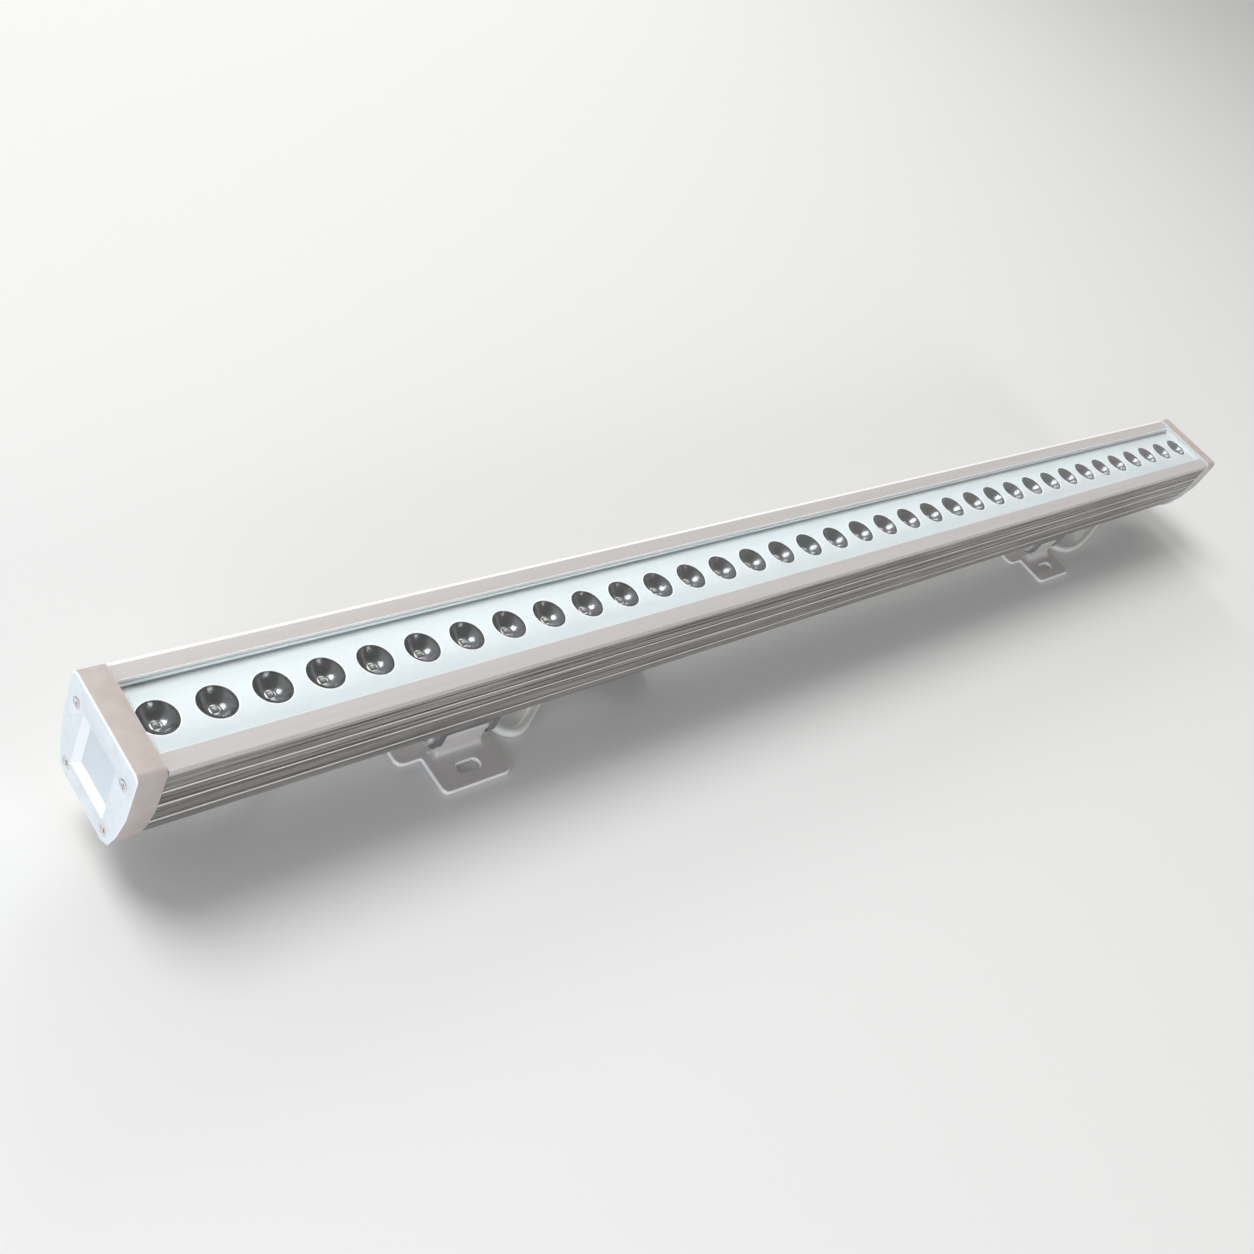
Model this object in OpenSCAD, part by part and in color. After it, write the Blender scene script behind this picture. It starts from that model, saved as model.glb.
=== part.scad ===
// Outdoor linear wall washer: a row of reflector optics behind glass in a ribbed
// aluminium extrusion, closed by two cast end caps, on two tilting cast feet.
// X runs along the light, the light shines up along +Z, and the feet stand on Z = 0.
// The origin lies midway between the two slotted fixing holes, on the fixing surface.

/* [Light row] */
// Number of optics in the row
lens_count = 36; // [30:6:60]
// Spacing of the optics along the row
lens_pitch = 27.2; // [27:0.1:40]
// Diameter of the round windows in the white mask
window_d = 18.7; // [14:0.1:20]
// Gap between the outermost window and the gasket of the end cap
end_gap = 0.65; // [0.65:0.05:20]
// Number of circuit boards that share the row
board_count = 3; // [1:1:3]

/* [Housing extrusion] */
// Width across the two lips beside the glass
housing_w = 59.6; // [59:0.2:80]
// Height from the underside to the top of the lips
housing_h = 56.7; // [54:0.1:90]
// Width of each flat lip beside the glass
lip_w = 10; // [8:0.1:11]
// Height of the plain edge below each lip
lip_edge_h = 2.6; // [1:0.1:4]
// How far the ribbed side lies behind the edge of the lip
side_inset = 0.8; // [0.4:0.1:1.5]
// Thickness of the side walls
wall_t = 2.4; // [1.8:0.1:3]
// Thickness of the web that carries the circuit boards
web_t = 3; // [2.8:0.1:5]
// Thickness of the floor under the driver space
floor_t = 3.5; // [2.5:0.1:4]
// Thickness of the ledges under the glass
ledge_t = 2; // [1.5:0.1:3]
// Width of the ledge under each edge of the glass
ledge_w = 3; // [2:0.1:4]
// Depth of the shallow channel along the underside
channel_h = 1; // [0.5:0.1:1.5]
// Width of the shallow channel along the underside
channel_w = 30; // [30:0.5:34]
// Width of the raised beads along the sides
bead_w = 1.6; // [1:0.1:2]
// Width of the fine grooves along the sides
groove_w = 0.9; // [0.4:0.1:1.4]

/* [Glass and mask] */
// Thickness of the toughened glass
glass_t = 4; // [3:0.5:5]
// How far the glass lies below the lips
glass_recess = 2; // [0.4:0.1:2.5]
// Thickness of the white mask behind the glass
mask_t = 0.5; // [0.3:0.1:1]
// Thickness of the silicone seal between the mask and the ledges
seal_t = 0.5; // [0.3:0.1:1]

/* [End caps] */
// Length of each end cap along the light
cap_t = 13.4; // [12:0.1:20]
// Width of the chamfer round the outer face of the end caps
cap_edge = 0.8; // [0.4:0.1:1.5]
// How far the caps stand out beside the lips
cap_lap = 0.6; // [0.4:0.1:3]
// How far the caps stand above the lips
cap_rise = 1.5; // [0.5:0.1:3]
// How far the caps reach below the underside
cap_drop = 0.5; // [0:0.1:1.5]
// Width of the square pocket in the outer face
pocket_w = 31; // [20:0.5:32]
// Height of the square pocket in the outer face
pocket_h = 33; // [20:0.5:34]
// Depth of the pocket, which is also the run of its sloped walls
pocket_d = 3; // [1.5:0.1:4]
// Depth of the hollow in the inner face
cap_hollow_d = 5; // [2:0.5:6]
// Thickness of the gasket between cap and housing
gasket_t = 0.6; // [0.4:0.1:2]

/* [Optics] */
// Depth of each reflector dish
cup_h = 5; // [4.5:0.1:12]
// Wall of the reflector dish
cup_wall = 0.5; // [0.3:0.05:0.6]
// Diameter of the opening at the foot of the dish
cup_throat_d = 5.2; // [5.1:0.1:6]
// Thickness of the circuit boards
board_t = 1.6; // [1:0.1:2]
// Width of the circuit boards
board_w = 24; // [22:0.5:30]

/* [Feet] */
// Distance from each end of the light to the middle of its foot
foot_inset = 200; // [190:5:240]
// Distance from the line of the slots to the middle plane of the light
slot_to_mid = 30.5; // [30:0.5:32]
// Height of the tilt pivot above the fixing surface
pivot_h = 15.5; // [15:0.5:20]
// Gap between the housing and the tilt pivot
pivot_drop = 10; // [9.5:0.5:14]
// Distance of the pivot in front of the middle plane
pivot_offset = 14; // [12.5:0.5:14]
// Thickness of the cast foot plate
foot_t = 3; // [2.5:0.1:5]
// Width of the front tab
tab_w = 45; // [40:0.5:46]
// Distance from the slot line to the front edge of the tab
tab_front = 11.5; // [10:0.5:16]
// Distance from the slot line to the back edge of the foot
foot_back = 44.5; // [42:0.5:46]
// Length of the fixing slot
slot_l = 15; // [10:0.5:20]
// Width of the fixing slot
slot_w = 6.5; // [4.5:0.1:7]
// How far the side wing stands out beside the tab
wing_out = 15; // [8:0.5:24]
// Width of the upright with the pivot barrel
upright_w = 29; // [26:0.5:30]
// Outer diameter of the pivot barrel
barrel_d = 10; // [9:0.1:11]
// Diameter of the pivot bolt
bolt_d = 5; // [4:0.1:5.5]

/* [Leads] */
// Outer diameter of the two leads
lead_d = 5.5; // [5:0.1:5.6]

/* [Hidden] */

// Smoothness of turned shapes, and the overrun of every cut
$fn = 48;
cut = 1;

// Clearances between neighbours
fit_gap = 0.1;
slide_gap = 0.15;
rest_gap = 0.2;
turn_gap = 0.3;

// Overall lengths
row_l = (lens_count - 1) * lens_pitch;
housing_l = row_l + window_d + 2 * end_gap;
length = housing_l + 2 * gasket_t + 2 * cap_t;

// Heights inside the housing, measured from its underside
glass_z = housing_h - glass_recess - glass_t;
mask_z = glass_z - mask_t;
seal_z = mask_z - seal_t;
ledge_z = seal_z - ledge_t;
cup_z = mask_z - rest_gap - cup_h;
board_z = cup_z - board_t;
web_z = board_z - web_t;
floor_z = channel_h + floor_t;

// Half widths inside the housing
half_w = housing_w / 2;
side_half = half_w - side_inset;
inner_half = side_half - wall_t;
rebate_half = half_w - lip_w;
mouth_half = rebate_half - ledge_w;

// The sides of housing and cap, as shares of half width and height, from the
// widest point down to the edge of the underside, with the radius of each corner
side_shares = [[1, 0.52], [0.907, 0.254], [0.78, 0.058], [0.6, 0]];
side_radii = [30, 40, 3, 1.5];
lip_r = 0.6;
cap_r = 3.5;
round_steps = 5;

// Heights of the beads and the fine grooves on the sides, as shares of the height
bead_shares = [0.741, 0.577, 0.323];
bead_sink = 0.1;
groove_shares = [0.884, 0.827, 0.658, 0.481, 0.363];

// Screw ports, measured from the side of the housing, its ledges and its underside
port_r = 3.6;
port_bore_d = 3.2;
port_rib_w = 3;
port_upper = [half_w - port_r - wall_t - 1.8 * side_inset - slide_gap, ledge_z - port_r - 0.6];
port_lower = [0.645 * side_half, floor_z + 2.6];
ports = [port_upper, port_lower];

// Screws that hold the caps
cap_screw_d = 3;
cap_screw_l = 24;
cap_head_d = 6;
cap_head_h = 1.7;
cap_boss_r = 4.4;
cap_wall = 3;
cap_skin = 0.1;
cap_sink = 0.3;
cap_notch_w = 32;
cap_notch_h = 1.2;
cross_l = 3.4;
cross_w = 0.7;
cross_h = 1;

// Circuit boards and the small parts on them
board_gap = 1.2;
board_end_gap = 0.5;
cup_steps = 4;
led_base_w = 3.5;
led_base_h = 0.8;
led_dome_d = 2.8;
led_dome_h = 0.8;
board_screw_d = 2.5;
board_screw_head_d = 4.6;
board_screw_head_h = 1.4;
board_screw_l = 4.2;
board_screw_y = 8;
board_cross_l = 2.6;
board_cross_h = 0.8;
link_l = 10;
link_w = 5;
link_h = 1.4;
link_in = 2.5;

// Drivers and the wires inside the lower space
driver_l = 160;
driver_side_gap = 1.1;
driver_w = 2 * (port_lower[0] - port_r - driver_side_gap);
driver_h = 18;
driver_wall = 1.2;
driver_fill_drop = 1.5;
driver_x = length * 0.15;
wire_d = 2;
wire_hole_d = 5;
wire_y = 4;
cable_d = 5;

// Hinge block and its screws
hinge_base_t = 3;
ear_t = 4;
ear_r = 6.5;
ear_back = 14;
washer_t = 1;
washer_d = 10;
hinge_back = 8;
hinge_screw_x = 7.5;
hinge_screw_y = 1;
hinge_screw_d = 4;
hinge_head_d = 8;
hinge_head_h = 2.2;
hinge_screw_l = 8;
hinge_sink = 0.2;
bolt_head_w = 8;
bolt_head_h = 3.5;
bolt_socket_w = 4;
bolt_socket_h = 2;
nut_h = 5;
bolt_tip = 1.5;

// The foot plate
tab_r = 4;
wing_r = 5;
wing_front = 12.5;
wing_notch_r = 1;
foot_window_w = 21;
foot_window_l = 21;
foot_window_r = 5;
foot_window_front = 15.5;
upright_t = 3;
upright_fillet = 4;

// Lead outlets
boot_end_gap = 17;
boot_l = 24;
boot_block_l = 14;
boot_block_w = 13;
boot_block_drop = 14;
boot_axis_drop = 7.6;
boot_r = 5.6;
boot_tip_r = 3.6;
boot_neck_d = 9;
boot_neck_l = 5;
boot_ring_w = 1.6;
boot_ring_h = 0.7;
boot_ring_count = 4;
boot_ring_pitch = 3.6;
boot_in_y = 8;
boot_out_y = -4;

// Plugs at the lead ends
plug_tail_l = 16;
plug_tail_r = 3.8;
plug_cone_l = 4;
plug_body_l = 24;
plug_r = 7;
ring_start = 27;
ring_l = 15;
ring_r = 8.5;
ring_flutes = 18;
ring_flute_r = 0.7;
plug_cap_l = 6;
plug_cap_r = 6.6;

// Derived places
underside_z = pivot_h + pivot_drop;
pivot_y = slot_to_mid - pivot_offset;
foot_x = length / 2 - foot_inset;
boot_x = housing_l / 2 - boot_end_gap - boot_block_l / 2;
ear_x = upright_w / 2 + slide_gap + washer_t;
hinge_front = pivot_offset + ear_r;
boot_z = underside_z + channel_h - boot_axis_drop;
lead_r = lead_d / 2;
lead_z = lead_r + rest_gap + 0.01 * lead_d;
plug_z = ring_r + rest_gap;
lead_sides = 10;

// Lead routes: x from the middle of the nearer foot, y from the middle plane of the
// light, share of the climb to the boot and share of the climb to the plug
lead_in_route = [[-138, 8, 1, 0], [-124, 8, 0.985, 0], [-112, 8.8, 0.89, 0],
    [-100, 10.8, 0.665, 0], [-88, 13.6, 0.375, 0], [-76, 17, 0.14, 0], [-64, 20.4, 0.025, 0],
    [-52, 23.4, 0, 0], [-40, 25.6, 0, 0], [-28, 27, 0, 0], [-16, 27.5, 0, 0],
    [-4, 27.5, 0, 0], [6, 27.2, 0, 0], [14.5, 25, 0, 0], [21.5, 20.3, 0, 0],
    [26, 13.5, 0, 0], [27.5, 6, 0, 0], [27.5, -2, 0, 0], [28, -9.5, 0, 0],
    [31.5, -16.5, 0, 0], [38.5, -20.3, 0, 0], [46, -18.7, 0, 0], [54, -13.8, 0, 0],
    [63, -8, 0, 0.035], [73, -2.4, 0, 0.28], [83, 1.8, 0, 0.68], [93, 4.4, 0, 0.95],
    [104, 5, 0, 1]];
lead_out_route = [[138, -4, 1, 0], [124, -5, 0.96, 0], [112, -8, 0.83, 0],
    [100, -11.8, 0.59, 0], [88, -15.6, 0.33, 0], [76, -18.8, 0.12, 0], [64, -21, 0.02, 0],
    [53, -21.9, 0, 0], [43.5, -21, 0, 0], [35, -16.8, 0, 0], [29.3, -9.6, 0, 0],
    [27.5, -1, 0, 0], [28, 7, 0, 0], [31.5, 14, 0, 0], [37.8, 19.4, 0, 0],
    [46, 21.8, 0, 0.035], [56, 22.3, 0, 0.28], [68, 22.1, 0, 0.7], [80, 22, 0, 0.965],
    [92, 22, 0, 1]];

// Unit vector along v, and a flat vector turned by an angle
function unit(v) = v / norm(v);
function turned(v, a) = [v[0] * cos(a) - v[1] * sin(a), v[0] * sin(a) + v[1] * cos(a)];

// Points of an arc of radius r that rounds corner b between a and c
function corner(a, b, c, r, n) =
    let (u = unit(a - b), v = unit(c - b), m = unit(u + v),
        half = acos(max(-1, min(1, u * v))) / 2,
        o = b + r / sin(half) * m,
        s = u[0] * v[1] - u[1] * v[0] > 0 ? 1 : -1)
    [for (i = [0 : n]) o + r * turned(-m, s * (90 - half) * (1 - 2 * i / n))];

// A closed outline whose corners are rounded by the radii given
function rounded(p, r, n) = [for (i = [0 : len(p) - 1])
    each r[i] > 0
        ? corner(p[(i + len(p) - 1) % len(p)], p[i], p[(i + 1) % len(p)], r[i], n)
        : [p[i]]];

// Corner points of one side, for a half width w, a height h and a bottom at z0
function side_points(w, h, z0) = [for (s = side_shares) [s[0] * w, z0 + s[1] * h]];

// The other half of an outline that is the same on both sides
function mirrored(p) = [for (i = [len(p) - 1 : -1 : 0]) [-p[i][0], p[i][1]]];
// A list in reverse order, which also makes a clockwise outline run counter-clockwise
function reversed(r) = [for (i = [len(r) - 1 : -1 : 0]) r[i]];

// Half width of the ribbed side at a height above the underside
function side_at(z) = lookup(z, [[0, side_shares[3][0] * side_half],
    [side_shares[2][1] * housing_h, side_shares[2][0] * side_half],
    [side_shares[1][1] * housing_h, side_shares[1][0] * side_half],
    [side_shares[0][1] * housing_h, side_half], [housing_h, side_half]]);

// Places along the row
function optic_x(i) = -row_l / 2 + i * lens_pitch;
function board_start(i) = i == 0 ? -housing_l / 2 + board_end_gap
    : optic_x(i * lens_count / board_count) - lens_pitch / 2 + board_gap / 2;
function board_stop(i) = i == board_count - 1 ? housing_l / 2 - board_end_gap
    : optic_x((i + 1) * lens_count / board_count) - lens_pitch / 2 - board_gap / 2;
function board_screw_places() = [for (i = [0 : board_count - 1])
    each let (n = lens_count / board_count)
        [for (k = [i * n + 1, (i + 1) * n - 1]) for (s = [-1, 1])
            [optic_x(k) - lens_pitch / 2, s * board_screw_y]]];

// The route of a lead in the frame of the part
function route(points, x0) = [for (p = points) [x0 + p[0], slot_to_mid + p[1],
    lead_z + p[2] * (boot_z - lead_z) + p[3] * (plug_z - lead_z)]];

// Stands its children up as a section that runs along X
module along_x(l) {
    rotate([90, 0, 90])
        linear_extrude(l)
            children();
}

// Moves its children to the frame of the housing: middle plane and underside
module at_light() {
    translate([0, slot_to_mid, underside_z])
        children();
}

// Turns its children so that their Z axis points along X
module turned_to_x() {
    rotate([0, 90, 0])
        children();
}

// Outline of the housing with its lips, before the hollows are cut
module housing_outline() {
    edge_z = housing_h - lip_edge_h;
    half = concat([[half_w, housing_h], [half_w, edge_z], [side_half, edge_z]],
        side_points(side_half, housing_h, 0));
    radii = concat([lip_r, 0, 0], side_radii);
    polygon(reversed(rounded(concat(half, mirrored(half)), concat(radii, reversed(radii)),
        round_steps)));
}

// Hollow above the web and hollow below it
module housing_hollows() {
    low = [[inner_half, web_z], [inner_half, side_shares[0][1] * housing_h],
        [side_shares[1][0] * side_half - wall_t, side_shares[1][1] * housing_h],
        [side_at(floor_z) - 1.4 * wall_t, floor_z]];
    translate([-inner_half, board_z])
        square([2 * inner_half, ledge_z - board_z]);
    polygon(concat(low, mirrored(low)));
}

// Material round the screw ports, with the ribs that tie them to the walls
module housing_ports() {
    for (s = [-1, 1])
        scale([s, 1]) {
            for (p = ports)
                translate(p)
                    circle(port_r);
            translate([port_upper[0], port_upper[1] - port_rib_w / 2])
                square([inner_half - port_upper[0] + cut, port_rib_w]);
            translate([port_upper[0] - port_rib_w / 2, port_upper[1]])
                square([port_rib_w, ledge_z - port_upper[1] + cut]);
            translate([port_lower[0], port_lower[1] - port_r])
                square([port_r, port_r]);
        }
}

module housing_section() {
    difference() {
        union() {
            housing_outline();
            for (s = [-1, 1], b = bead_shares)
                translate([s * (side_at(b * housing_h) - bead_sink), b * housing_h])
                    circle(d = bead_w);
        }
        for (s = [-1, 1], g = groove_shares)
            translate([s * side_at(g * housing_h), g * housing_h])
                circle(d = groove_w);
        translate([-rebate_half, seal_z])
            square([2 * rebate_half, housing_h]);
        translate([-mouth_half, ledge_z - cut])
            square([2 * mouth_half, housing_h]);
        difference() {
            housing_hollows();
            housing_ports();
        }
        for (s = [-1, 1], p = ports)
            translate([s * p[0], p[1]])
                circle(d = port_bore_d);
        translate([-channel_w / 2, -cut])
            square([channel_w, channel_h + cut]);
    }
}

module housing() {
    color([0.55, 0.55, 0.56])
        difference() {
            at_light()
                translate([-housing_l / 2, 0, 0])
                    along_x(housing_l)
                        housing_section();
            at_light() {
                for (p = board_screw_places())
                    translate([p[0], p[1], web_z - cut])
                        cylinder(d = board_screw_d + fit_gap, h = web_t + 2 * cut);
                for (sx = [-1, 1], sy = [-1, 1])
                    translate([sx * driver_x, sy * wire_y, web_z - cut])
                        cylinder(d = wire_hole_d, h = web_t + 2 * cut);
                for (sx = [-1, 1], k = [-1, 1])
                    translate([sx * foot_x + k * hinge_screw_x, hinge_screw_y, 0])
                        cylinder(d = hinge_screw_d + fit_gap, h = floor_z + cut);
                translate([-boot_x, boot_in_y, 0])
                    cylinder(d = boot_neck_d + 2 * fit_gap, h = floor_z + cut);
                translate([boot_x, boot_out_y, 0])
                    cylinder(d = boot_neck_d + 2 * fit_gap, h = floor_z + cut);
            }
        }
}

// Outline of an end cap, also used smaller for its hollow
module cap_outline(inset) {
    w = half_w + cap_lap - inset;
    h = housing_h + cap_rise + cap_drop - 2 * inset;
    z0 = inset - cap_drop;
    half = concat([[w, z0 + h]], side_points(w, h, z0));
    radii = concat([cap_r], side_radii);
    polygon(reversed(rounded(concat(half, mirrored(half)), concat(radii, reversed(radii)),
        round_steps)));
}

// The pocket in the outer face, with walls that slope in at 45 degrees
module cap_pocket() {
    mid_z = housing_h / 2;
    outer = cap_t + cut;
    inner = cap_t - pocket_d;
    w = pocket_w / 2;
    h = pocket_h / 2;
    intersection() {
        rotate([90, 0, 0])
            linear_extrude(2 * pocket_w, center = true)
                polygon([[inner, mid_z - h + pocket_d], [outer, mid_z - h - cut],
                    [outer, mid_z + h + cut], [inner, mid_z + h - pocket_d]]);
        linear_extrude(2 * housing_h)
            polygon([[inner, pocket_d - w], [outer, -w - cut],
                [outer, w + cut], [inner, w - pocket_d]]);
    }
}

// Solid body of an end cap, with a chamfer round its outer face
module cap_body() {
    along_x(cap_t - cap_edge)
        cap_outline(0);
    hull() {
        translate([cap_t - cap_edge - cap_skin, 0, 0])
            along_x(cap_skin)
                cap_outline(0);
        translate([cap_t - cap_skin, 0, 0])
            along_x(cap_skin)
                cap_outline(cap_edge);
    }
}

// An end cap with its inner face at x = 0 and its outer face at x = cap_t
module end_cap() {
    color([0.66, 0.65, 0.64])
        difference() {
            union() {
                difference() {
                    cap_body();
                    translate([-cut, 0, 0])
                        along_x(cap_hollow_d + cut)
                            cap_outline(cap_wall);
                }
                for (s = [-1, 1], p = ports)
                    translate([0, s * p[0], p[1]])
                        turned_to_x()
                            cylinder(r = cap_boss_r, h = cap_t - pocket_d);
            }
            cap_pocket();
            translate([-cut, -cap_notch_w / 2, -cap_drop - cut])
                cube([cap_t + 2 * cut, cap_notch_w, cap_notch_h + cut]);
            for (s = [-1, 1], p = ports)
                translate([0, s * p[0], p[1]])
                    turned_to_x() {
                        translate([0, 0, -cut])
                            cylinder(d = cap_screw_d + 4 * fit_gap, h = cap_t + cut);
                        translate([0, 0, cap_t - cap_sink - cap_head_h])
                            cylinder(d1 = cap_screw_d + 2 * fit_gap,
                                d2 = cap_head_d + 2 * fit_gap, h = cap_head_h);
                        translate([0, 0, cap_t - cap_sink])
                            cylinder(d = cap_head_d + 2 * fit_gap, h = cap_sink + cut);
                    }
        }
}

// A flat seal between the housing and a cap, from x = 0 on
module end_gasket() {
    open_half = port_lower[0] - port_r;
    color([0.85, 0.86, 0.86])
        difference() {
            along_x(gasket_t)
                difference() {
                    cap_outline(cap_rise + rest_gap);
                    translate([-open_half, floor_z])
                        square([2 * open_half, ledge_z - floor_z]);
                }
            for (s = [-1, 1], p = ports)
                translate([-cut, s * p[0], p[1]])
                    turned_to_x()
                        cylinder(d = port_bore_d, h = gasket_t + 2 * cut);
        }
}

// A countersunk screw with its flat face at z = 0 and its shank pointing down
module sunk_screw(d, l, head_d, head_h) {
    difference() {
        union() {
            translate([0, 0, -head_h])
                cylinder(d1 = d, d2 = head_d, h = head_h);
            translate([0, 0, -l])
                cylinder(d = d, h = l);
        }
        translate([-cross_l / 2, -cross_w / 2, -cross_h])
            cube([cross_l, cross_w, cross_h + cut]);
        translate([-cross_w / 2, -cross_l / 2, -cross_h])
            cube([cross_w, cross_l, cross_h + cut]);
    }
}

// The four screws of one cap, with the outer face of the cap at x = 0
module cap_screws() {
    color([0.72, 0.72, 0.74])
        for (s = [-1, 1], p = ports)
            translate([-cap_sink, s * p[0], p[1]])
                turned_to_x()
                    sunk_screw(cap_screw_d, cap_screw_l, cap_head_d, cap_head_h);
}

module cover_glass() {
    w = rebate_half - slide_gap;
    color([0.85, 0.93, 0.9, 0.4])
        at_light()
            translate([rest_gap - housing_l / 2, -w, glass_z])
                cube([housing_l - 2 * rest_gap, 2 * w, glass_t]);
}

module glass_seal() {
    w = rebate_half - slide_gap;
    l = housing_l - 2 * rest_gap;
    color([0.85, 0.86, 0.86])
        at_light()
            difference() {
                translate([-l / 2, -w, seal_z])
                    cube([l, 2 * w, seal_t]);
                translate([-l / 2 - cut, -mouth_half, seal_z - cut])
                    cube([l + 2 * cut, 2 * mouth_half, seal_t + 2 * cut]);
            }
}

module window_mask() {
    w = rebate_half - slide_gap;
    color([0.93, 0.95, 0.95])
        at_light()
            difference() {
                translate([rest_gap - housing_l / 2, -w, mask_z])
                    cube([housing_l - 2 * rest_gap, 2 * w, mask_t]);
                for (i = [0 : lens_count - 1])
                    translate([optic_x(i), 0, mask_z - cut])
                        cylinder(d = window_d, h = mask_t + 2 * cut);
            }
}

// One reflector dish, standing on z = 0 with its wide rim at the top
module reflector_cup() {
    throat = cup_throat_d / 2;
    rim = window_d / 2;
    inner = [for (i = [0 : cup_steps])
        [throat + (rim - throat) * i / cup_steps, cup_h * pow(i / cup_steps, 2)]];
    outer = [for (i = [cup_steps : -1 : 0])
        [inner[i][0] + cup_wall, inner[i][1]]];
    rotate_extrude()
        polygon(concat(inner, outer));
}

module reflector_cups(third) {
    color([0.35, 0.36, 0.38])
        at_light()
            for (i = [third * lens_count / 3 : (third + 1) * lens_count / 3 - 1])
                translate([optic_x(i), 0, cup_z])
                    reflector_cup();
}

module led_emitters() {
    color([0.93, 0.86, 0.5])
        at_light()
            for (i = [0 : lens_count - 1])
                translate([optic_x(i), 0, cup_z]) {
                    translate([-led_base_w / 2, -led_base_w / 2, 0])
                        cube([led_base_w, led_base_w, led_base_h]);
                    cylinder(d = led_dome_d, h = led_base_h + led_dome_h);
                }
}

module circuit_boards() {
    color([0.9, 0.9, 0.88])
        at_light()
            difference() {
                for (i = [0 : board_count - 1])
                    translate([board_start(i), -board_w / 2, board_z])
                        cube([board_stop(i) - board_start(i), board_w, board_t]);
                for (p = board_screw_places())
                    translate([p[0], p[1], board_z - cut])
                        cylinder(d = board_screw_d + 2 * fit_gap, h = board_t + 2 * cut);
            }
}

module board_screws() {
    top = board_z + board_t;
    color([0.72, 0.72, 0.74])
        at_light()
            for (p = board_screw_places())
                translate([p[0], p[1], top])
                    difference() {
                        union() {
                            cylinder(d = board_screw_head_d, h = board_screw_head_h);
                            translate([0, 0, -board_screw_l])
                                cylinder(d = board_screw_d, h = board_screw_l + cross_w);
                        }
                        translate([-board_cross_l / 2, -cross_w / 2,
                            board_screw_head_h - board_cross_h])
                            cube([board_cross_l, cross_w, board_cross_h + cut]);
                        translate([-cross_w / 2, -board_cross_l / 2,
                            board_screw_head_h - board_cross_h])
                            cube([cross_w, board_cross_l, board_cross_h + cut]);
                    }
}

// Plug-on links between neighbouring boards, and the supply terminal at each end
module board_links() {
    ends = [board_start(0) + link_in, board_stop(board_count - 1) - link_in];
    color([0.95, 0.95, 0.93])
        at_light() {
            if (board_count > 1)
                for (i = [1 : board_count - 1])
                    translate([board_start(i) - board_gap / 2 - link_l / 2, -link_w / 2, cup_z])
                        cube([link_l, link_w, link_h]);
            for (x = ends)
                translate([x - link_in / 2, board_w / 2 - link_w, cup_z])
                    cube([link_in, link_w, link_h]);
        }
}

module driver_cases() {
    color([0.2, 0.2, 0.21])
        at_light()
            for (s = [-1, 1])
                translate([s * driver_x - driver_l / 2, -driver_w / 2, floor_z])
                    difference() {
                        cube([driver_l, driver_w, driver_h]);
                        translate([driver_wall, driver_wall, driver_wall])
                            cube([driver_l - 2 * driver_wall, driver_w - 2 * driver_wall,
                                driver_h]);
                    }
}

module driver_filling() {
    l = driver_l - 2 * driver_wall;
    w = driver_w - 2 * driver_wall;
    color([0.15, 0.16, 0.18])
        at_light()
            for (s = [-1, 1])
                translate([s * driver_x - l / 2, -w / 2, floor_z + driver_wall])
                    cube([l, w, driver_h - driver_wall - driver_fill_drop]);
}

// The wires that rise from each driver through the web to the boards
module driver_wires() {
    z0 = floor_z + driver_h - driver_fill_drop;
    color([0.6, 0.1, 0.1])
        at_light()
            for (sx = [-1, 1], sy = [-1, 1])
                translate([sx * driver_x, sy * wire_y, z0])
                    cylinder(d = wire_d, h = board_z - z0);
}

// The sheathed cable from each lead outlet along the floor to its driver
module supply_cables() {
    start = boot_x - boot_neck_d / 2 - rest_gap;
    stop = driver_x + driver_l / 2;
    z = floor_z + cable_d / 2;
    color([0.85, 0.85, 0.85])
        at_light() {
            translate([-start, boot_in_y, z])
                turned_to_x()
                    cylinder(d = cable_d, h = start - stop);
            translate([stop, boot_out_y, z])
                turned_to_x()
                    cylinder(d = cable_d, h = start - stop);
        }
}

// Places its children at the pivot line in the middle of a foot, side -1 or 1
module at_pivot(side) {
    translate([side * foot_x, pivot_y, pivot_h])
        children();
}

// Bracket under the housing with two ears that hold the pivot bolt
module hinge_block(side) {
    base_z = underside_z - hinge_base_t;
    up = pivot_drop - hinge_base_t / 2;
    pad_front = channel_w / 2 - slide_gap;
    w = ear_x + ear_t;
    color([0.5, 0.5, 0.51])
        difference() {
            union() {
                translate([side * foot_x - w, slot_to_mid - hinge_front, base_z])
                    cube([2 * w, hinge_front + hinge_back, hinge_base_t]);
                translate([side * foot_x - w, slot_to_mid - pad_front, base_z])
                    cube([2 * w, pad_front + hinge_back, hinge_base_t + channel_h]);
                at_pivot(side)
                    for (x = [-w, ear_x])
                        translate([x, 0, 0]) {
                            along_x(ear_t)
                                polygon([[-ear_r, 0], [-ear_r, up], [ear_back, up], [ear_r, 0]]);
                            turned_to_x()
                                cylinder(r = ear_r, h = ear_t);
                        }
            }
            at_pivot(side)
                translate([-w - cut, 0, 0])
                    turned_to_x()
                        cylinder(d = bolt_d + 2 * fit_gap, h = 2 * w + 2 * cut);
            for (k = [-1, 1])
                translate([side * foot_x + k * hinge_screw_x, slot_to_mid + hinge_screw_y,
                    base_z]) {
                    translate([0, 0, -cut])
                        cylinder(d = hinge_screw_d + 2 * fit_gap,
                            h = hinge_base_t + channel_h + 2 * cut);
                    translate([0, 0, hinge_sink])
                        cylinder(d1 = hinge_head_d + 2 * fit_gap,
                            d2 = hinge_screw_d + 2 * fit_gap, h = hinge_head_h);
                    translate([0, 0, -cut])
                        cylinder(d = hinge_head_d + 2 * fit_gap, h = hinge_sink + cut);
                }
        }
}

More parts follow.
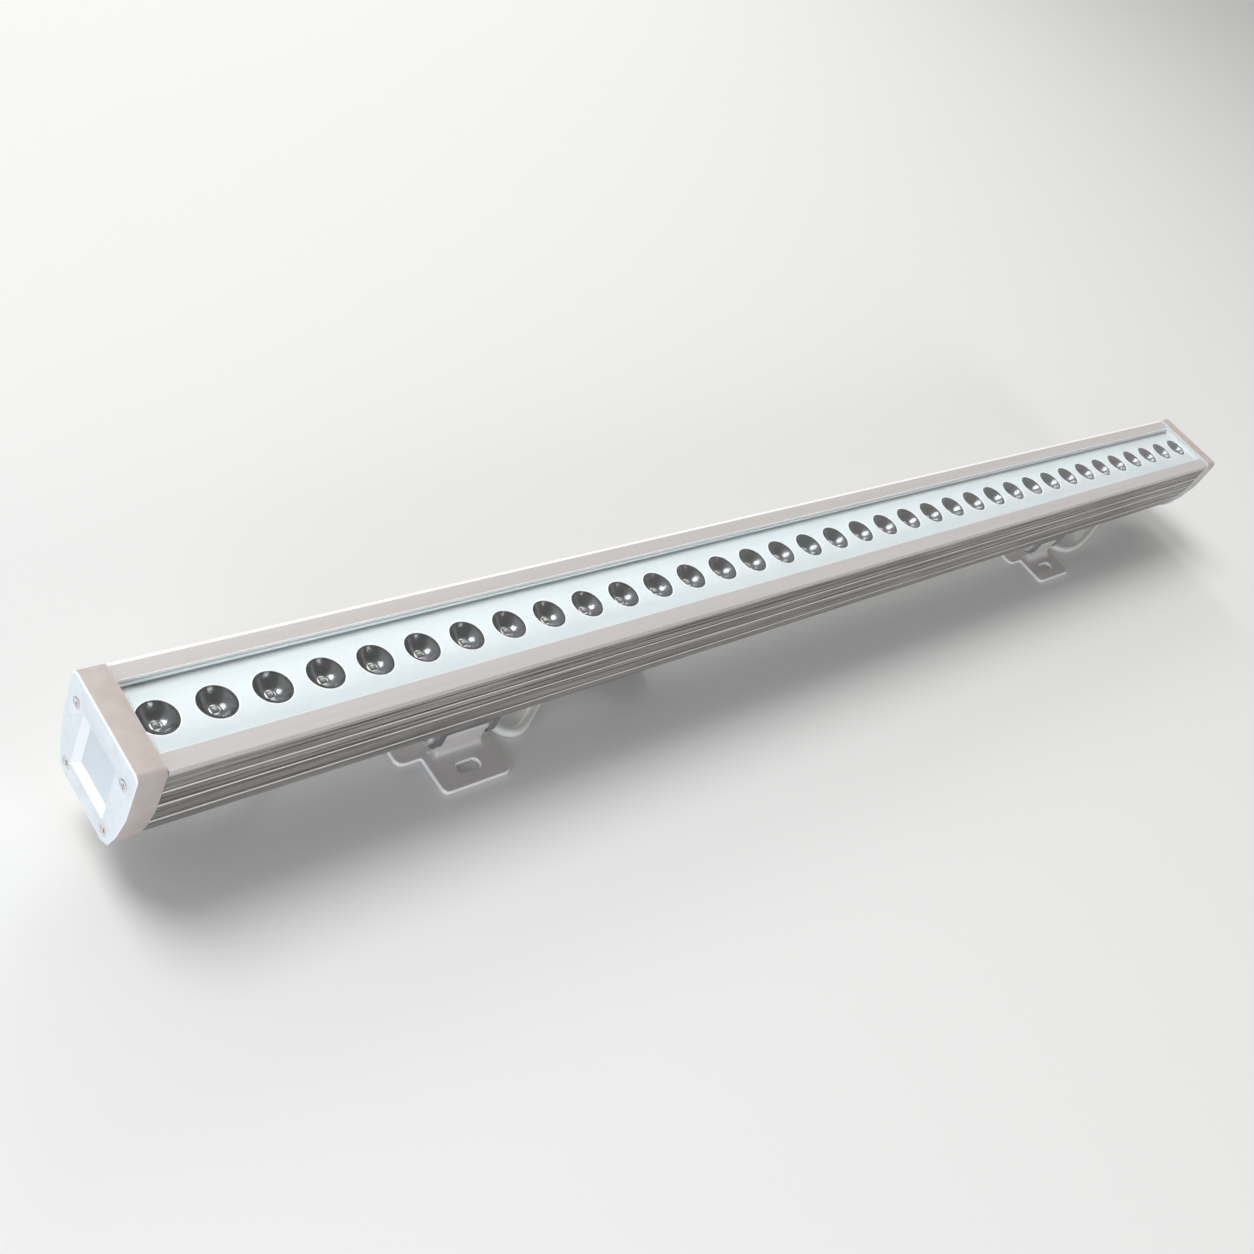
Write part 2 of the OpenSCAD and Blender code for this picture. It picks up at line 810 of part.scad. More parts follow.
module hinge_screws(side) {
    color([0.72, 0.72, 0.74])
        for (k = [-1, 1])
            translate([side * foot_x + k * hinge_screw_x, slot_to_mid + hinge_screw_y,
                underside_z - hinge_base_t + hinge_sink])
                rotate([180, 0, 0])
                    sunk_screw(hinge_screw_d, hinge_screw_l, hinge_head_d, hinge_head_h);
}

// The bolt through both ears, its head on the left and its threaded tip on the right
module pivot_bolt(side) {
    w = ear_x + ear_t;
    color([0.75, 0.75, 0.77])
        at_pivot(side)
            difference() {
                union() {
                    translate([-w - bolt_head_h, 0, 0])
                        turned_to_x()
                            cylinder(d = bolt_head_w, h = bolt_head_h);
                    translate([-w - bolt_head_h / 2, 0, 0])
                        turned_to_x()
                            cylinder(d = bolt_d, h = bolt_head_h / 2 + 2 * w + nut_h + bolt_tip);
                }
                translate([-w - bolt_head_h - cut, 0, 0])
                    turned_to_x()
                        cylinder(d = bolt_socket_w, h = bolt_socket_h + cut, $fn = 6);
            }
}

module pivot_nut(side) {
    color([0.75, 0.75, 0.77])
        at_pivot(side)
            translate([ear_x + ear_t, 0, 0])
                turned_to_x()
                    difference() {
                        cylinder(d = bolt_head_w / cos(30), h = nut_h, $fn = 6);
                        translate([0, 0, -cut])
                            cylinder(d = bolt_d + 2 * fit_gap, h = nut_h + 2 * cut);
                    }
}

module pivot_washers(side) {
    color([0.92, 0.92, 0.9])
        at_pivot(side)
            for (x = [-ear_x, ear_x - washer_t])
                translate([x, 0, 0])
                    turned_to_x()
                        difference() {
                            cylinder(d = washer_d, h = washer_t);
                            translate([0, 0, -cut])
                                cylinder(d = bolt_d + 2 * fit_gap, h = washer_t + 2 * cut);
                        }
}

// Outline of the foot plate: a front tab, and a wider rear with one side wing
module foot_outline() {
    t = tab_w / 2;
    wing = t + wing_out;
    polygon(rounded([[t, foot_back], [-wing, foot_back], [-wing, wing_front],
        [-t, wing_front], [-t, -tab_front], [t, -tab_front]],
        [tab_r, wing_r, wing_r, wing_notch_r, tab_r, tab_r], round_steps));
}

// Outline of the open window in the foot plate
module foot_window() {
    w = foot_window_w / 2;
    y0 = foot_window_front;
    y1 = foot_window_front + foot_window_l;
    r = foot_window_r;
    polygon(rounded([[w, y1], [-w, y1], [-w, y0], [w, y0]], [r, r, r, r], round_steps));
}

// Section of the fillet at the root of the upright, its corner at the origin
module fillet_section() {
    f = upright_fillet;
    difference() {
        translate([0, -cut])
            square([f, f + cut]);
        translate([f, f])
            circle(f);
    }
}

// The upright: a strip up to the barrel, with a fillet round its front and sides
module upright() {
    w = upright_w / 2;
    translate([-w, pivot_y - barrel_d / 2, 0]) {
        cube([upright_w, upright_t, pivot_h]);
        translate([0, 0, foot_t])
            mirror([0, 1, 0])
                along_x(upright_w)
                    fillet_section();
        for (s = [-1, 1])
            translate([w + s * w, 0, foot_t])
                scale([s, 1, 1]) {
                    translate([0, upright_t, 0])
                        rotate([90, 0, 0])
                            linear_extrude(upright_t)
                                fillet_section();
                    rotate([0, 0, -90])
                        rotate_extrude(angle = 90)
                            fillet_section();
                }
    }
    translate([-w, pivot_y, pivot_h])
        turned_to_x()
            cylinder(d = barrel_d, h = upright_w);
}

module foot(side) {
    run = slot_l - slot_w;
    color([0.45, 0.45, 0.46])
        translate([side * foot_x, 0, 0])
            difference() {
                union() {
                    linear_extrude(foot_t)
                        foot_outline();
                    upright();
                }
                translate([0, 0, -cut])
                    linear_extrude(foot_t + 2 * cut)
                        foot_window();
                for (s = [-1, 1])
                    translate([s * run / 2, 0, -cut])
                        cylinder(d = slot_w, h = foot_t + 2 * cut);
                translate([-run / 2, -slot_w / 2, -cut])
                    cube([run, slot_w, foot_t + 2 * cut]);
                translate([-upright_w / 2 - cut, pivot_y, pivot_h])
                    turned_to_x()
                        cylinder(d = bolt_d + 2 * turn_gap, h = upright_w + 2 * cut);
            }
}

// A right-angled outlet under the housing, its tapered sleeve pointing along +X
module lead_boot() {
    block_r = boot_block_w / 2;
    sleeve = boot_l - boot_block_l / 2;
    color([0.2, 0.2, 0.21])
        translate([0, 0, channel_h]) {
            translate([-boot_block_l / 2, -block_r, -boot_block_drop])
                cube([boot_block_l, boot_block_w, boot_block_drop]);
            translate([0, 0, -cut])
                cylinder(d = boot_neck_d, h = boot_neck_l + cut);
            translate([0, 0, -boot_axis_drop])
                turned_to_x() {
                    cylinder(r1 = boot_r, r2 = boot_tip_r, h = boot_l);
                    for (i = [0 : boot_ring_count - 1])
                        translate([0, 0, boot_block_l / 2 + boot_ring_w + i * boot_ring_pitch])
                            cylinder(r = boot_ring_h + boot_r
                                + (boot_tip_r - boot_r) * (boot_block_l / 2 + boot_ring_w
                                + i * boot_ring_pitch) / (sleeve + boot_block_l / 2),
                                h = boot_ring_w);
                }
        }
}

// A tube swept along a route, its end faces square to X
module lead_tube(points) {
    n = len(points);
    dirs = [for (i = [0 : n - 1]) i == 0 ? [sign(points[1][0] - points[0][0]), 0, 0]
        : i == n - 1 ? [sign(points[n - 1][0] - points[n - 2][0]), 0, 0]
        : unit(unit(points[i + 1] - points[i]) + unit(points[i] - points[i - 1]))];
    rings = [for (i = [0 : n - 1])
        let (across = unit(cross([0, 0, 1], dirs[i])), up = cross(dirs[i], across))
            for (k = [0 : lead_sides - 1]) let (a = 360 * k / lead_sides)
                points[i] + lead_r * (cos(a) * across + sin(a) * up)];
    sides = [for (i = [0 : n - 2], k = [0 : lead_sides - 1])
        let (j = (k + 1) % lead_sides, a = i * lead_sides)
            [a + k, a + lead_sides + k, a + lead_sides + j, a + j]];
    first = [for (k = [0 : lead_sides - 1]) k];
    last = [for (k = [lead_sides - 1 : -1 : 0]) (n - 1) * lead_sides + k];
    color([0.75, 0.75, 0.74])
        polyhedron(points = rings, faces = concat([first], sides, [last]), convexity = 10);
}

// Places its children at the plug end of a lead
module at_plug(points) {
    translate(points[len(points) - 1])
        turned_to_x()
            children();
}

module plug_body(points) {
    color([0.16, 0.16, 0.17])
        at_plug(points) {
            cylinder(r = plug_tail_r, h = plug_tail_l);
            translate([0, 0, plug_tail_l])
                cylinder(r1 = plug_tail_r, r2 = plug_r, h = plug_cone_l);
            translate([0, 0, plug_tail_l + plug_cone_l])
                cylinder(r = plug_r, h = plug_body_l);
        }
}

module plug_ring(points) {
    color([0.1, 0.1, 0.11])
        at_plug(points)
            translate([0, 0, ring_start])
                difference() {
                    cylinder(r = ring_r, h = ring_l);
                    translate([0, 0, -cut])
                        cylinder(r = plug_r + fit_gap, h = ring_l + 2 * cut);
                    for (k = [0 : ring_flutes - 1])
                        rotate([0, 0, (k + 0.5) * 360 / ring_flutes])
                            translate([ring_r, 0, -cut])
                                cylinder(r = ring_flute_r, h = ring_l + 2 * cut, $fn = 16);
                }
}

module plug_cap(points) {
    color([0.25, 0.25, 0.26])
        at_plug(points)
            translate([0, 0, plug_tail_l + plug_cone_l + plug_body_l])
                cylinder(r = plug_cap_r, h = plug_cap_l);
}

housing();
mirror([1, 0, 0])  // end_cap_left
        at_light()
            translate([housing_l / 2 + gasket_t, 0, 0])
                end_cap();
at_light()  // end_cap_right
        translate([housing_l / 2 + gasket_t, 0, 0])
            end_cap();
mirror([1, 0, 0])  // end_gasket_left
        at_light()
            translate([housing_l / 2, 0, 0])
                end_gasket();
at_light()  // end_gasket_right
        translate([housing_l / 2, 0, 0])
            end_gasket();
mirror([1, 0, 0])  // cap_screws_left
        at_light()
            translate([length / 2, 0, 0])
                cap_screws();
at_light()  // cap_screws_right
        translate([length / 2, 0, 0])
            cap_screws();
cover_glass();
glass_seal();
window_mask();
reflector_cups(0);  // reflector_cups_left
reflector_cups(1);  // reflector_cups_middle
reflector_cups(2);  // reflector_cups_right
led_emitters();
circuit_boards();
board_screws();
board_links();
driver_cases();
driver_filling();
driver_wires();
supply_cables();
hinge_block(-1);  // hinge_block_left
hinge_block(1);  // hinge_block_right
hinge_screws(-1);  // hinge_screws_left
hinge_screws(1);  // hinge_screws_right
pivot_bolt(-1);  // pivot_bolt_left
pivot_bolt(1);  // pivot_bolt_right
pivot_nut(-1);  // pivot_nut_left
pivot_nut(1);  // pivot_nut_right
pivot_washers(-1);  // pivot_washers_left
pivot_washers(1);  // pivot_washers_right
foot(-1);  // foot_left
foot(1);  // foot_right
at_light()  // lead_boot_in
        translate([-boot_x, boot_in_y, 0])
            lead_boot();
at_light()  // lead_boot_out
        translate([boot_x, boot_out_y, 0])
            mirror([1, 0, 0])
                lead_boot();
lead_tube(route(lead_in_route, -foot_x));  // lead_in
lead_tube(route(lead_out_route, foot_x));  // lead_out
plug_body(route(lead_in_route, -foot_x));  // plug_in
plug_ring(route(lead_in_route, -foot_x));  // plug_in_ring
plug_cap(route(lead_in_route, -foot_x));  // plug_in_cap
plug_body(route(lead_out_route, foot_x));  // plug_out
plug_ring(route(lead_out_route, foot_x));  // plug_out_ring
plug_cap(route(lead_out_route, foot_x));  // plug_out_cap
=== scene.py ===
"""Looks of the outdoor linear wall washer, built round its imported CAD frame."""
import math

import bmesh
import bpy
from mathutils import Matrix, Vector


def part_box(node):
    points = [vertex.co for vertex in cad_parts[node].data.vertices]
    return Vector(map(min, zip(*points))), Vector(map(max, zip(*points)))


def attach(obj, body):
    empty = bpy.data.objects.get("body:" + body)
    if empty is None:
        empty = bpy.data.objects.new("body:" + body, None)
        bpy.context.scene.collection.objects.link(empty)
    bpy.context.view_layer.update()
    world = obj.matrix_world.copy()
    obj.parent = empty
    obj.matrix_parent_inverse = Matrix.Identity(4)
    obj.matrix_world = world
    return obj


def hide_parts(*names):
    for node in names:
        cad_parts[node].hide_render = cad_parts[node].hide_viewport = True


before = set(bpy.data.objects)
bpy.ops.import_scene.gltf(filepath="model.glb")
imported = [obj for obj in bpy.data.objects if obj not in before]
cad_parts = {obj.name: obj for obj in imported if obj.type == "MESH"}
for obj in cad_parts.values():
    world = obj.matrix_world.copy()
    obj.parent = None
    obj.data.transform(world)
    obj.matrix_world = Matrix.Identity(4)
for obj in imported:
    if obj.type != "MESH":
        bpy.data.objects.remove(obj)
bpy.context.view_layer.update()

# Camera: the viewpoint solved from the photograph, close to the near end, above it
# and a little in front, with the frame turned so that the row climbs to the right.
CAMERA_PLACE = (-0.71877, -0.27376, 0.54888)
CAMERA_RIGHT = (0.710414, -0.570539, 0.412064)
CAMERA_UP = (0.204308, 0.727471, 0.655014)
CAMERA_BACK = (-0.673476, -0.381144, 0.633371)
scene = bpy.context.scene
camera_data = bpy.data.cameras.new("camera")
camera_data.sensor_width = 36
camera_data.lens = 39.8485
camera_data.clip_start = 0.01
camera = bpy.data.objects.new("camera", camera_data)
axes = Matrix((CAMERA_RIGHT, CAMERA_UP, CAMERA_BACK)).transposed()
camera.matrix_world = Matrix.Translation(CAMERA_PLACE) @ axes.to_4x4()
scene.collection.objects.link(camera)
scene.camera = camera

# Supply leads: one in and one out, each a limp silicone-rubber sheath extruded round
# and matt over three cores. They leave boots under the ends, dip to the floor and pass
# the feet to end in a plug.
MM = 0.001
FOOT_X = 300 * MM
MID_Y = 30.5 * MM
LEAD_D = 5.5 * MM
LEAD_REST_Z = LEAD_D / 2 + 0.2 * MM + 0.01 * LEAD_D
BOOT_AXIS_Z = 18.9 * MM
PLUG_AXIS_Z = 8.7 * MM
LEAD_SIDES = 20
LEAD_STEPS = 4
# Route points: x in mm from the nearer foot, y in mm from the light's middle plane, then
# the shares of the climb from the floor to the boot and to the plug
LEAD_IN = [(-138, 8, 1, 0), (-124, 8, 0.985, 0), (-112, 8.8, 0.89, 0),
           (-100, 10.8, 0.665, 0), (-88, 13.6, 0.375, 0), (-76, 17, 0.14, 0),
           (-64, 20.4, 0.025, 0), (-52, 23.4, 0, 0), (-40, 25.6, 0, 0), (-28, 27, 0, 0),
           (-16, 27.5, 0, 0), (-4, 27.5, 0, 0), (6, 27.2, 0, 0), (14.5, 25, 0, 0),
           (21.5, 20.3, 0, 0), (26, 13.5, 0, 0), (27.5, 6, 0, 0), (27.5, -2, 0, 0),
           (28, -9.5, 0, 0), (31.5, -16.5, 0, 0), (38.5, -20.3, 0, 0), (46, -18.7, 0, 0),
           (54, -13.8, 0, 0), (63, -8, 0, 0.035), (73, -2.4, 0, 0.28), (83, 1.8, 0, 0.68),
           (93, 4.4, 0, 0.95), (104, 5, 0, 1)]
LEAD_OUT = [(138, -4, 1, 0), (124, -5, 0.96, 0), (112, -8, 0.83, 0), (100, -11.8, 0.59, 0),
            (88, -15.6, 0.33, 0), (76, -18.8, 0.12, 0), (64, -21, 0.02, 0),
            (53, -21.9, 0, 0), (43.5, -21, 0, 0), (35, -16.8, 0, 0), (29.3, -9.6, 0, 0),
            (27.5, -1, 0, 0), (28, 7, 0, 0), (31.5, 14, 0, 0), (37.8, 19.4, 0, 0),
            (46, 21.8, 0, 0.035), (56, 22.3, 0, 0.28), (68, 22.1, 0, 0.7),
            (80, 22, 0, 0.965), (92, 22, 0, 1)]


def lead_route(points, foot_x):
    """The route's points in metres in the frame of the part."""
    return [Vector((foot_x + x * MM, MID_Y + y * MM,
                    LEAD_REST_Z + boot * (BOOT_AXIS_Z - LEAD_REST_Z)
                    + plug * (PLUG_AXIS_Z - LEAD_REST_Z))) for x, y, boot, plug in points]


def smooth_path(points, steps):
    """A curve through the points, with steps pieces between each pair."""
    path = []
    for i in range(len(points) - 1):
        a, b = points[i], points[i + 1]
        before = points[i - 1] if i else a * 2 - b
        after = points[i + 2] if i + 2 < len(points) else b * 2 - a
        for k in range(steps):
            t = k / steps
            path.append(0.5 * (2 * a + (b - before) * t
                               + (2 * before - 5 * a + 4 * b - after) * t ** 2
                               + (3 * a - before - 3 * b + after) * t ** 3))
    return path + [points[-1]]


def new_object(name, mesh):
    obj = bpy.data.objects.new(name, mesh)
    scene.collection.objects.link(obj)
    return obj


def shade_smooth(obj, angle=40):
    """Smooth shading that keeps edges sharper than the angle."""
    bm = bmesh.new()
    bm.from_mesh(obj.data)
    for face in bm.faces:
        face.smooth = True
    for edge in bm.edges:
        edge.smooth = (len(edge.link_faces) == 2
                       and edge.calc_face_angle(0) < math.radians(angle))
    bm.to_mesh(obj.data)
    bm.free()


def tube(name, path, radius, sides):
    """A closed round tube along a path, its two ends square to the light."""
    bm = bmesh.new()
    rings = []
    for i, point in enumerate(path):
        ahead = path[min(i + 1, len(path) - 1)] - path[max(i - 1, 0)]
        if i in (0, len(path) - 1):
            ahead = Vector((ahead.x, 0, 0))
        ahead.normalize()
        across = Vector((0, 0, 1)).cross(ahead).normalized()
        up = ahead.cross(across)
        rings.append([bm.verts.new(point + radius * (math.cos(a) * across + math.sin(a) * up))
                      for a in (2 * math.pi * k / sides for k in range(sides))])
    for low, high in zip(rings, rings[1:]):
        for k in range(sides):
            j = (k + 1) % sides
            bm.faces.new((low[k], low[j], high[j], high[k]))
    bm.faces.new(list(reversed(rings[0])))
    bm.faces.new(rings[-1])
    bmesh.ops.recalc_face_normals(bm, faces=bm.faces)
    mesh = bpy.data.meshes.new(name)
    bm.to_mesh(mesh)
    bm.free()
    return new_object(name, mesh)


def linear(hex_colour):
    """Linear red, green, blue and alpha of an sRGB hex colour."""
    parts = [int(hex_colour[i:i + 2], 16) / 255 for i in (1, 3, 5)]
    return [c / 12.92 if c <= 0.04045 else ((c + 0.055) / 1.055) ** 2.4 for c in parts] + [1]


def add(tree, kind, out=0, **values):
    """Adds a node and gives its output out. Each value is a setting of the node, or an
    input by its name with _ for a space, or by i and its number; a socket is linked."""
    node = tree.nodes.new(kind)
    for key, value in values.items():
        if hasattr(node, key):
            setattr(node, key, value)
            continue
        name = int(key[1:]) if key[1:].isdigit() else key.replace("_", " ")
        if isinstance(value, bpy.types.NodeSocket):
            tree.links.new(value, node.inputs[name])
        else:
            node.inputs[name].default_value = value
    return node.outputs[out] if node.outputs else node


def new_material(name):
    """An empty node material and its tree."""
    material = bpy.data.materials.new(name)
    material.use_nodes = True
    material.node_tree.nodes.clear()
    return material, material.node_tree


def speckle(tree, size_mm, detail=2.0, stretch=(1, 1, 1)):
    """Noise on the object's own coordinates whose grains are about size_mm wide."""
    place = add(tree, "ShaderNodeTexCoord", "Object")
    place = add(tree, "ShaderNodeMapping", Vector=place, Scale=stretch)
    return add(tree, "ShaderNodeTexNoise", Vector=place, Scale=1 / (size_mm * MM),
               Detail=detail)


def finish(name, tones, cloud_mm, matt, grain_mm, depth_mm, stretch=(1, 1, 1), **settings):
    """A material that drifts between two tones and two roughnesses in clouds, under a
    fine grain of a given depth."""
    material, tree = new_material(name)
    cloud = add(tree, "ShaderNodeMapRange", Value=speckle(tree, cloud_mm, 3, stretch),
                From_Min=0.3, From_Max=0.7)
    grain = speckle(tree, grain_mm, 2, stretch)
    tone = add(tree, "ShaderNodeMix", 2, data_type="RGBA", i0=cloud, i6=linear(tones[0]),
               i7=linear(tones[1]))
    rough = add(tree, "ShaderNodeMapRange", Value=grain, From_Min=0.3, From_Max=0.7,
                To_Min=matt[0], To_Max=matt[1])
    relief = add(tree, "ShaderNodeBump", Height=grain, Distance=depth_mm * MM)
    shader = add(tree, "ShaderNodeBsdfPrincipled", Base_Color=tone, Roughness=rough,
                 Normal=relief, **settings)
    add(tree, "ShaderNodeOutputMaterial", Surface=shader)
    return material


# Silicone rubber, extruded: matt, with a faint bloom of dust that lifts its edges
lead_rubber = finish("silicone_rubber_extruded_grey", ("#E0DFDC", "#ECEBE8"), 6,
                     (0.38, 0.5), 0.5, 0.04, Sheen_Weight=0.15, Sheen_Roughness=0.4)

for lead_name, route, foot_x in (("lead_in", LEAD_IN, -FOOT_X), ("lead_out", LEAD_OUT, FOOT_X)):
    path = smooth_path(lead_route(route, foot_x), LEAD_STEPS)
    lead = tube("supply_" + lead_name, path, LEAD_D / 2, LEAD_SIDES)
    lead.data.materials.append(lead_rubber)
    shade_smooth(lead)
    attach(lead, "housing")
    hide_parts(lead_name)


def dress(material, *names):
    """Gives the CAD nodes whose names start with one of the names this material."""
    for node_name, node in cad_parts.items():
        if node_name.startswith(names):
            node.data.materials.clear()
            node.data.materials.append(material)


# Boots: right-angled outlets moulded from black EPDM rubber, bonded into the housing's
# floor, with rings round the sleeve that let it bend. Moulded rubber is deep and dull.
boot_rubber = finish("epdm_rubber_moulded_black", ("#232324", "#323233"), 5, (0.5, 0.65),
                     0.35, 0.05)
dress(boot_rubber, "lead_boot")

# Plugs: waterproof connectors of black moulded nylon, each with a fluted coupling ring
# and a blanking cap. Spark-eroded tools leave a fine even grain with a soft sheen.
plug_nylon = finish("nylon_moulded_black", ("#1C1D1E", "#28292A"), 8, (0.34, 0.46), 0.25,
                    0.03)
dress(plug_nylon, "plug_")

# Feet: cast aluminium plates with rounded edges, left bare and tumbled to a satin grey.
# A slotted tab stands out in front, an open window lies behind it, and an upright with
# the pivot barrel rises between the two out of a soft fillet.
FOOT_T = 3 * MM
FOOT_EDGE = 0.8 * MM
PIVOT_Y = 16.5 * MM
PIVOT_Z = 15.5 * MM
UPRIGHT_W = 29 * MM
UPRIGHT_T = 3 * MM
ROOT_R = 4.5 * MM
BARREL_R = 5 * MM
BARREL_BORE_R = 2.8 * MM
CAST_GRAIN = 0.5 * MM
TUMBLE_PASSES = 4
FOOT_OUTLINE = [((22.5, 44.5), 4), ((-37.5, 44.5), 5), ((-37.5, 12.5), 5),
                ((-22.5, 12.5), 1), ((-22.5, -11.5), 4), ((22.5, -11.5), 4)]
FOOT_WINDOW = [((10.5, 36.5), 5), ((-10.5, 36.5), 5), ((-10.5, 15.5), 5), ((10.5, 15.5), 5)]
FOOT_SLOT = [((7.5, 3.25), 3.24), ((-7.5, 3.25), 3.24), ((-7.5, -3.25), 3.24),
             ((7.5, -3.25), 3.24)]


def rounded(corners, steps=10):
    """Points in metres of a closed outline, each corner rounded by its radius in mm."""
    points = []
    for i, (corner, radius) in enumerate(corners):
        b = Vector(corner)
        u = (Vector(corners[i - 1][0]) - b).normalized()
        v = (Vector(corners[(i + 1) % len(corners)][0]) - b).normalized()
        half = math.acos(max(-1, min(1, u.dot(v)))) / 2
        middle = (u + v).normalized()
        centre = b + middle * radius / math.sin(half)
        turn = 1 if u.x * v.y - u.y * v.x > 0 else -1
        for k in range(steps + 1):
            a = turn * (math.pi / 2 - half) * (1 - 2 * k / steps)
            points.append((centre + Matrix.Rotation(a, 2) @ -middle * radius) * MM)
    return points


def plate(name, outlines, thickness, edge):
    """A flat plate with holes and rounded edges, from z = 0 up."""
    data = bpy.data.curves.new(name, "CURVE")
    data.dimensions = "2D"
    data.fill_mode = "BOTH"
    data.extrude = thickness / 2 - edge
    data.bevel_depth = edge
    data.bevel_resolution = 3
    data.offset = -edge
    for outline in outlines:
        spline = data.splines.new("POLY")
        spline.points.add(len(outline) - 1)
        for point, place in zip(spline.points, outline):
            point.co = (place.x, place.y, 0, 1)
        spline.use_cyclic_u = True
    flat = bpy.data.objects.new(name, data)
    scene.collection.objects.link(flat)
    mesh = bpy.data.meshes.new_from_object(flat.evaluated_get(
        bpy.context.evaluated_depsgraph_get()))
    bpy.data.objects.remove(flat)
    mesh.transform(Matrix.Translation((0, 0, thickness / 2)))
    bm = bmesh.new()
    bm.from_mesh(mesh)
    bmesh.ops.remove_doubles(bm, verts=bm.verts, dist=0.001 * MM)
    bmesh.ops.recalc_face_normals(bm, faces=bm.faces)
    bm.to_mesh(mesh)
    bm.free()
    return new_object(name, mesh)


def loft(name, rings, around=False):
    """A closed solid through rings of points, or a closed band when it runs around."""
    bm = bmesh.new()
    rows = [[bm.verts.new(p) for p in ring] for ring in rings]
    for low, high in zip(rows, rows[1:] + (rows[:1] if around else [])):
        for k in range(len(low)):
            j = (k + 1) % len(low)
            bm.faces.new((low[k], low[j], high[j], high[k]))
    if not around:
        bm.faces.new(rows[0])
        bm.faces.new(rows[-1])
    bmesh.ops.recalc_face_normals(bm, faces=bm.faces)
    mesh = bpy.data.meshes.new(name)
    bm.to_mesh(mesh)
    bm.free()
    return new_object(name, mesh)


def turned_x(name, y, z, profile, sides=40):
    """A solid turned about a line along X, through pairs of x and radius."""
    return loft(name, [[(x, y + r * math.cos(a), z + r * math.sin(a)) for a in
                        (2 * math.pi * k / sides for k in range(sides))]
                       for x, r in profile])


def apply_modifiers(obj):
    """Turns what the modifiers make into the object's own plain mesh."""
    mesh = bpy.data.meshes.new_from_object(
        obj.evaluated_get(bpy.context.evaluated_depsgraph_get()))
    obj.modifiers.clear()
    obj.data = mesh


def combine(obj, others, operation):
    """Joins the others into obj, or cuts them from it, and removes them."""
    for other in others:
        step = obj.modifiers.new("step", "BOOLEAN")
        step.object = other
        step.operation = operation
        step.solver = "EXACT"
    apply_modifiers(obj)
    for other in others:
        bpy.data.objects.remove(other)


def root_ring(reach, z):
    """The flared root of the upright at a height: the upright, widened by the reach."""
    w = UPRIGHT_W / 2
    front = PIVOT_Y - BARREL_R
    left = [(-w - reach * math.cos(a), front - reach * math.sin(a), z)
            for a in (math.pi / 2 * k / 8 for k in range(9))]
    right = [(-x, y, z) for x, y, z in reversed(left)]
    back = front + UPRIGHT_T
    return [(-w - reach, back, z)] + left + right + [(w + reach, back, z)]


# Aluminium, cast and tumbled: satin, with soft clouds, a fine pitted skin, and a painted
# highlight that turns the plate's rounded edges near white
cast_aluminium, tree = new_material("aluminium_cast_tumbled")
cloud = speckle(tree, 14)
pits = speckle(tree, 0.6)
tone = add(tree, "ShaderNodeMix", 2, data_type="RGBA", i0=cloud, i6=linear("#CFCCCA"),
           i7=linear("#DEDBD9"))
# Painted highlight: the steep faces low on the plate, its rounded edges, are mixed to near
# white
highlight_slope = add(tree, "ShaderNodeSeparateXYZ", "Z",
            Vector=add(tree, "ShaderNodeTexCoord", "Normal"))
highlight_slope = add(tree, "ShaderNodeMath", operation="ABSOLUTE", i0=highlight_slope)
highlight_slope = add(tree, "ShaderNodeMapRange", Value=highlight_slope, From_Min=0.96, From_Max=0.8)
height = add(tree, "ShaderNodeSeparateXYZ", "Z",
             Vector=add(tree, "ShaderNodeTexCoord", "Object"))
low = add(tree, "ShaderNodeMapRange", Value=height, From_Min=FOOT_T, From_Max=FOOT_T + 0.1 * MM,
          To_Min=1.0, To_Max=0.0)
edge = add(tree, "ShaderNodeMath", operation="MULTIPLY", i0=highlight_slope, i1=low)
tone = add(tree, "ShaderNodeMix", 2, data_type="RGBA", i0=edge, i6=tone,
           i7=linear("#FDFCFB"))
rough = add(tree, "ShaderNodeMapRange", Value=pits, From_Min=0.3, From_Max=0.7,
            To_Min=0.34, To_Max=0.46)
relief = add(tree, "ShaderNodeBump", Height=pits, Distance=0.02 * MM)
shader = add(tree, "ShaderNodeBsdfPrincipled", Base_Color=tone, Metallic=0.2,
             Roughness=rough, Normal=relief)
add(tree, "ShaderNodeOutputMaterial", Surface=shader)

for side, foot_x in (("left", -FOOT_X), ("right", FOOT_X)):
    foot = plate("foot_casting_" + side,
                 [rounded(FOOT_OUTLINE), rounded(FOOT_WINDOW), rounded(FOOT_SLOT)],
                 FOOT_T, FOOT_EDGE)
    rings = [root_ring(ROOT_R, FOOT_T / 2)]
    for k in range(11):
        a = math.pi / 2 * k / 10
        rings.append(root_ring(ROOT_R * (1 - math.sin(a)) + 0.01 * MM,
                               FOOT_T + ROOT_R * (1 - math.cos(a))))
    rings.append(root_ring(0.01 * MM, PIVOT_Z))
    upright = loft("upright", rings)
    barrel = turned_x("barrel", PIVOT_Y, PIVOT_Z, [(-UPRIGHT_W / 2, BARREL_R),
                                                   (UPRIGHT_W / 2, BARREL_R)], 64)
    bore = turned_x("bore", PIVOT_Y, PIVOT_Z, [(-UPRIGHT_W, BARREL_BORE_R),
                                               (UPRIGHT_W, BARREL_BORE_R)])
    combine(foot, [upright, barrel], "UNION")
    combine(foot, [bore], "DIFFERENCE")
    remesh = foot.modifiers.new("skin", "REMESH")
    remesh.mode = "VOXEL"
    remesh.voxel_size = CAST_GRAIN
    soften = foot.modifiers.new("soften", "SMOOTH")
    soften.factor = 0.5
    soften.iterations = TUMBLE_PASSES
    apply_modifiers(foot)
    foot.data.transform(Matrix.Translation((foot_x, 0, 0)))
    foot.data.materials.clear()
    foot.data.materials.append(cast_aluminium)
    shade_smooth(foot, 60)
    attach(foot, "foot_" + side)
    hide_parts("foot_" + side)

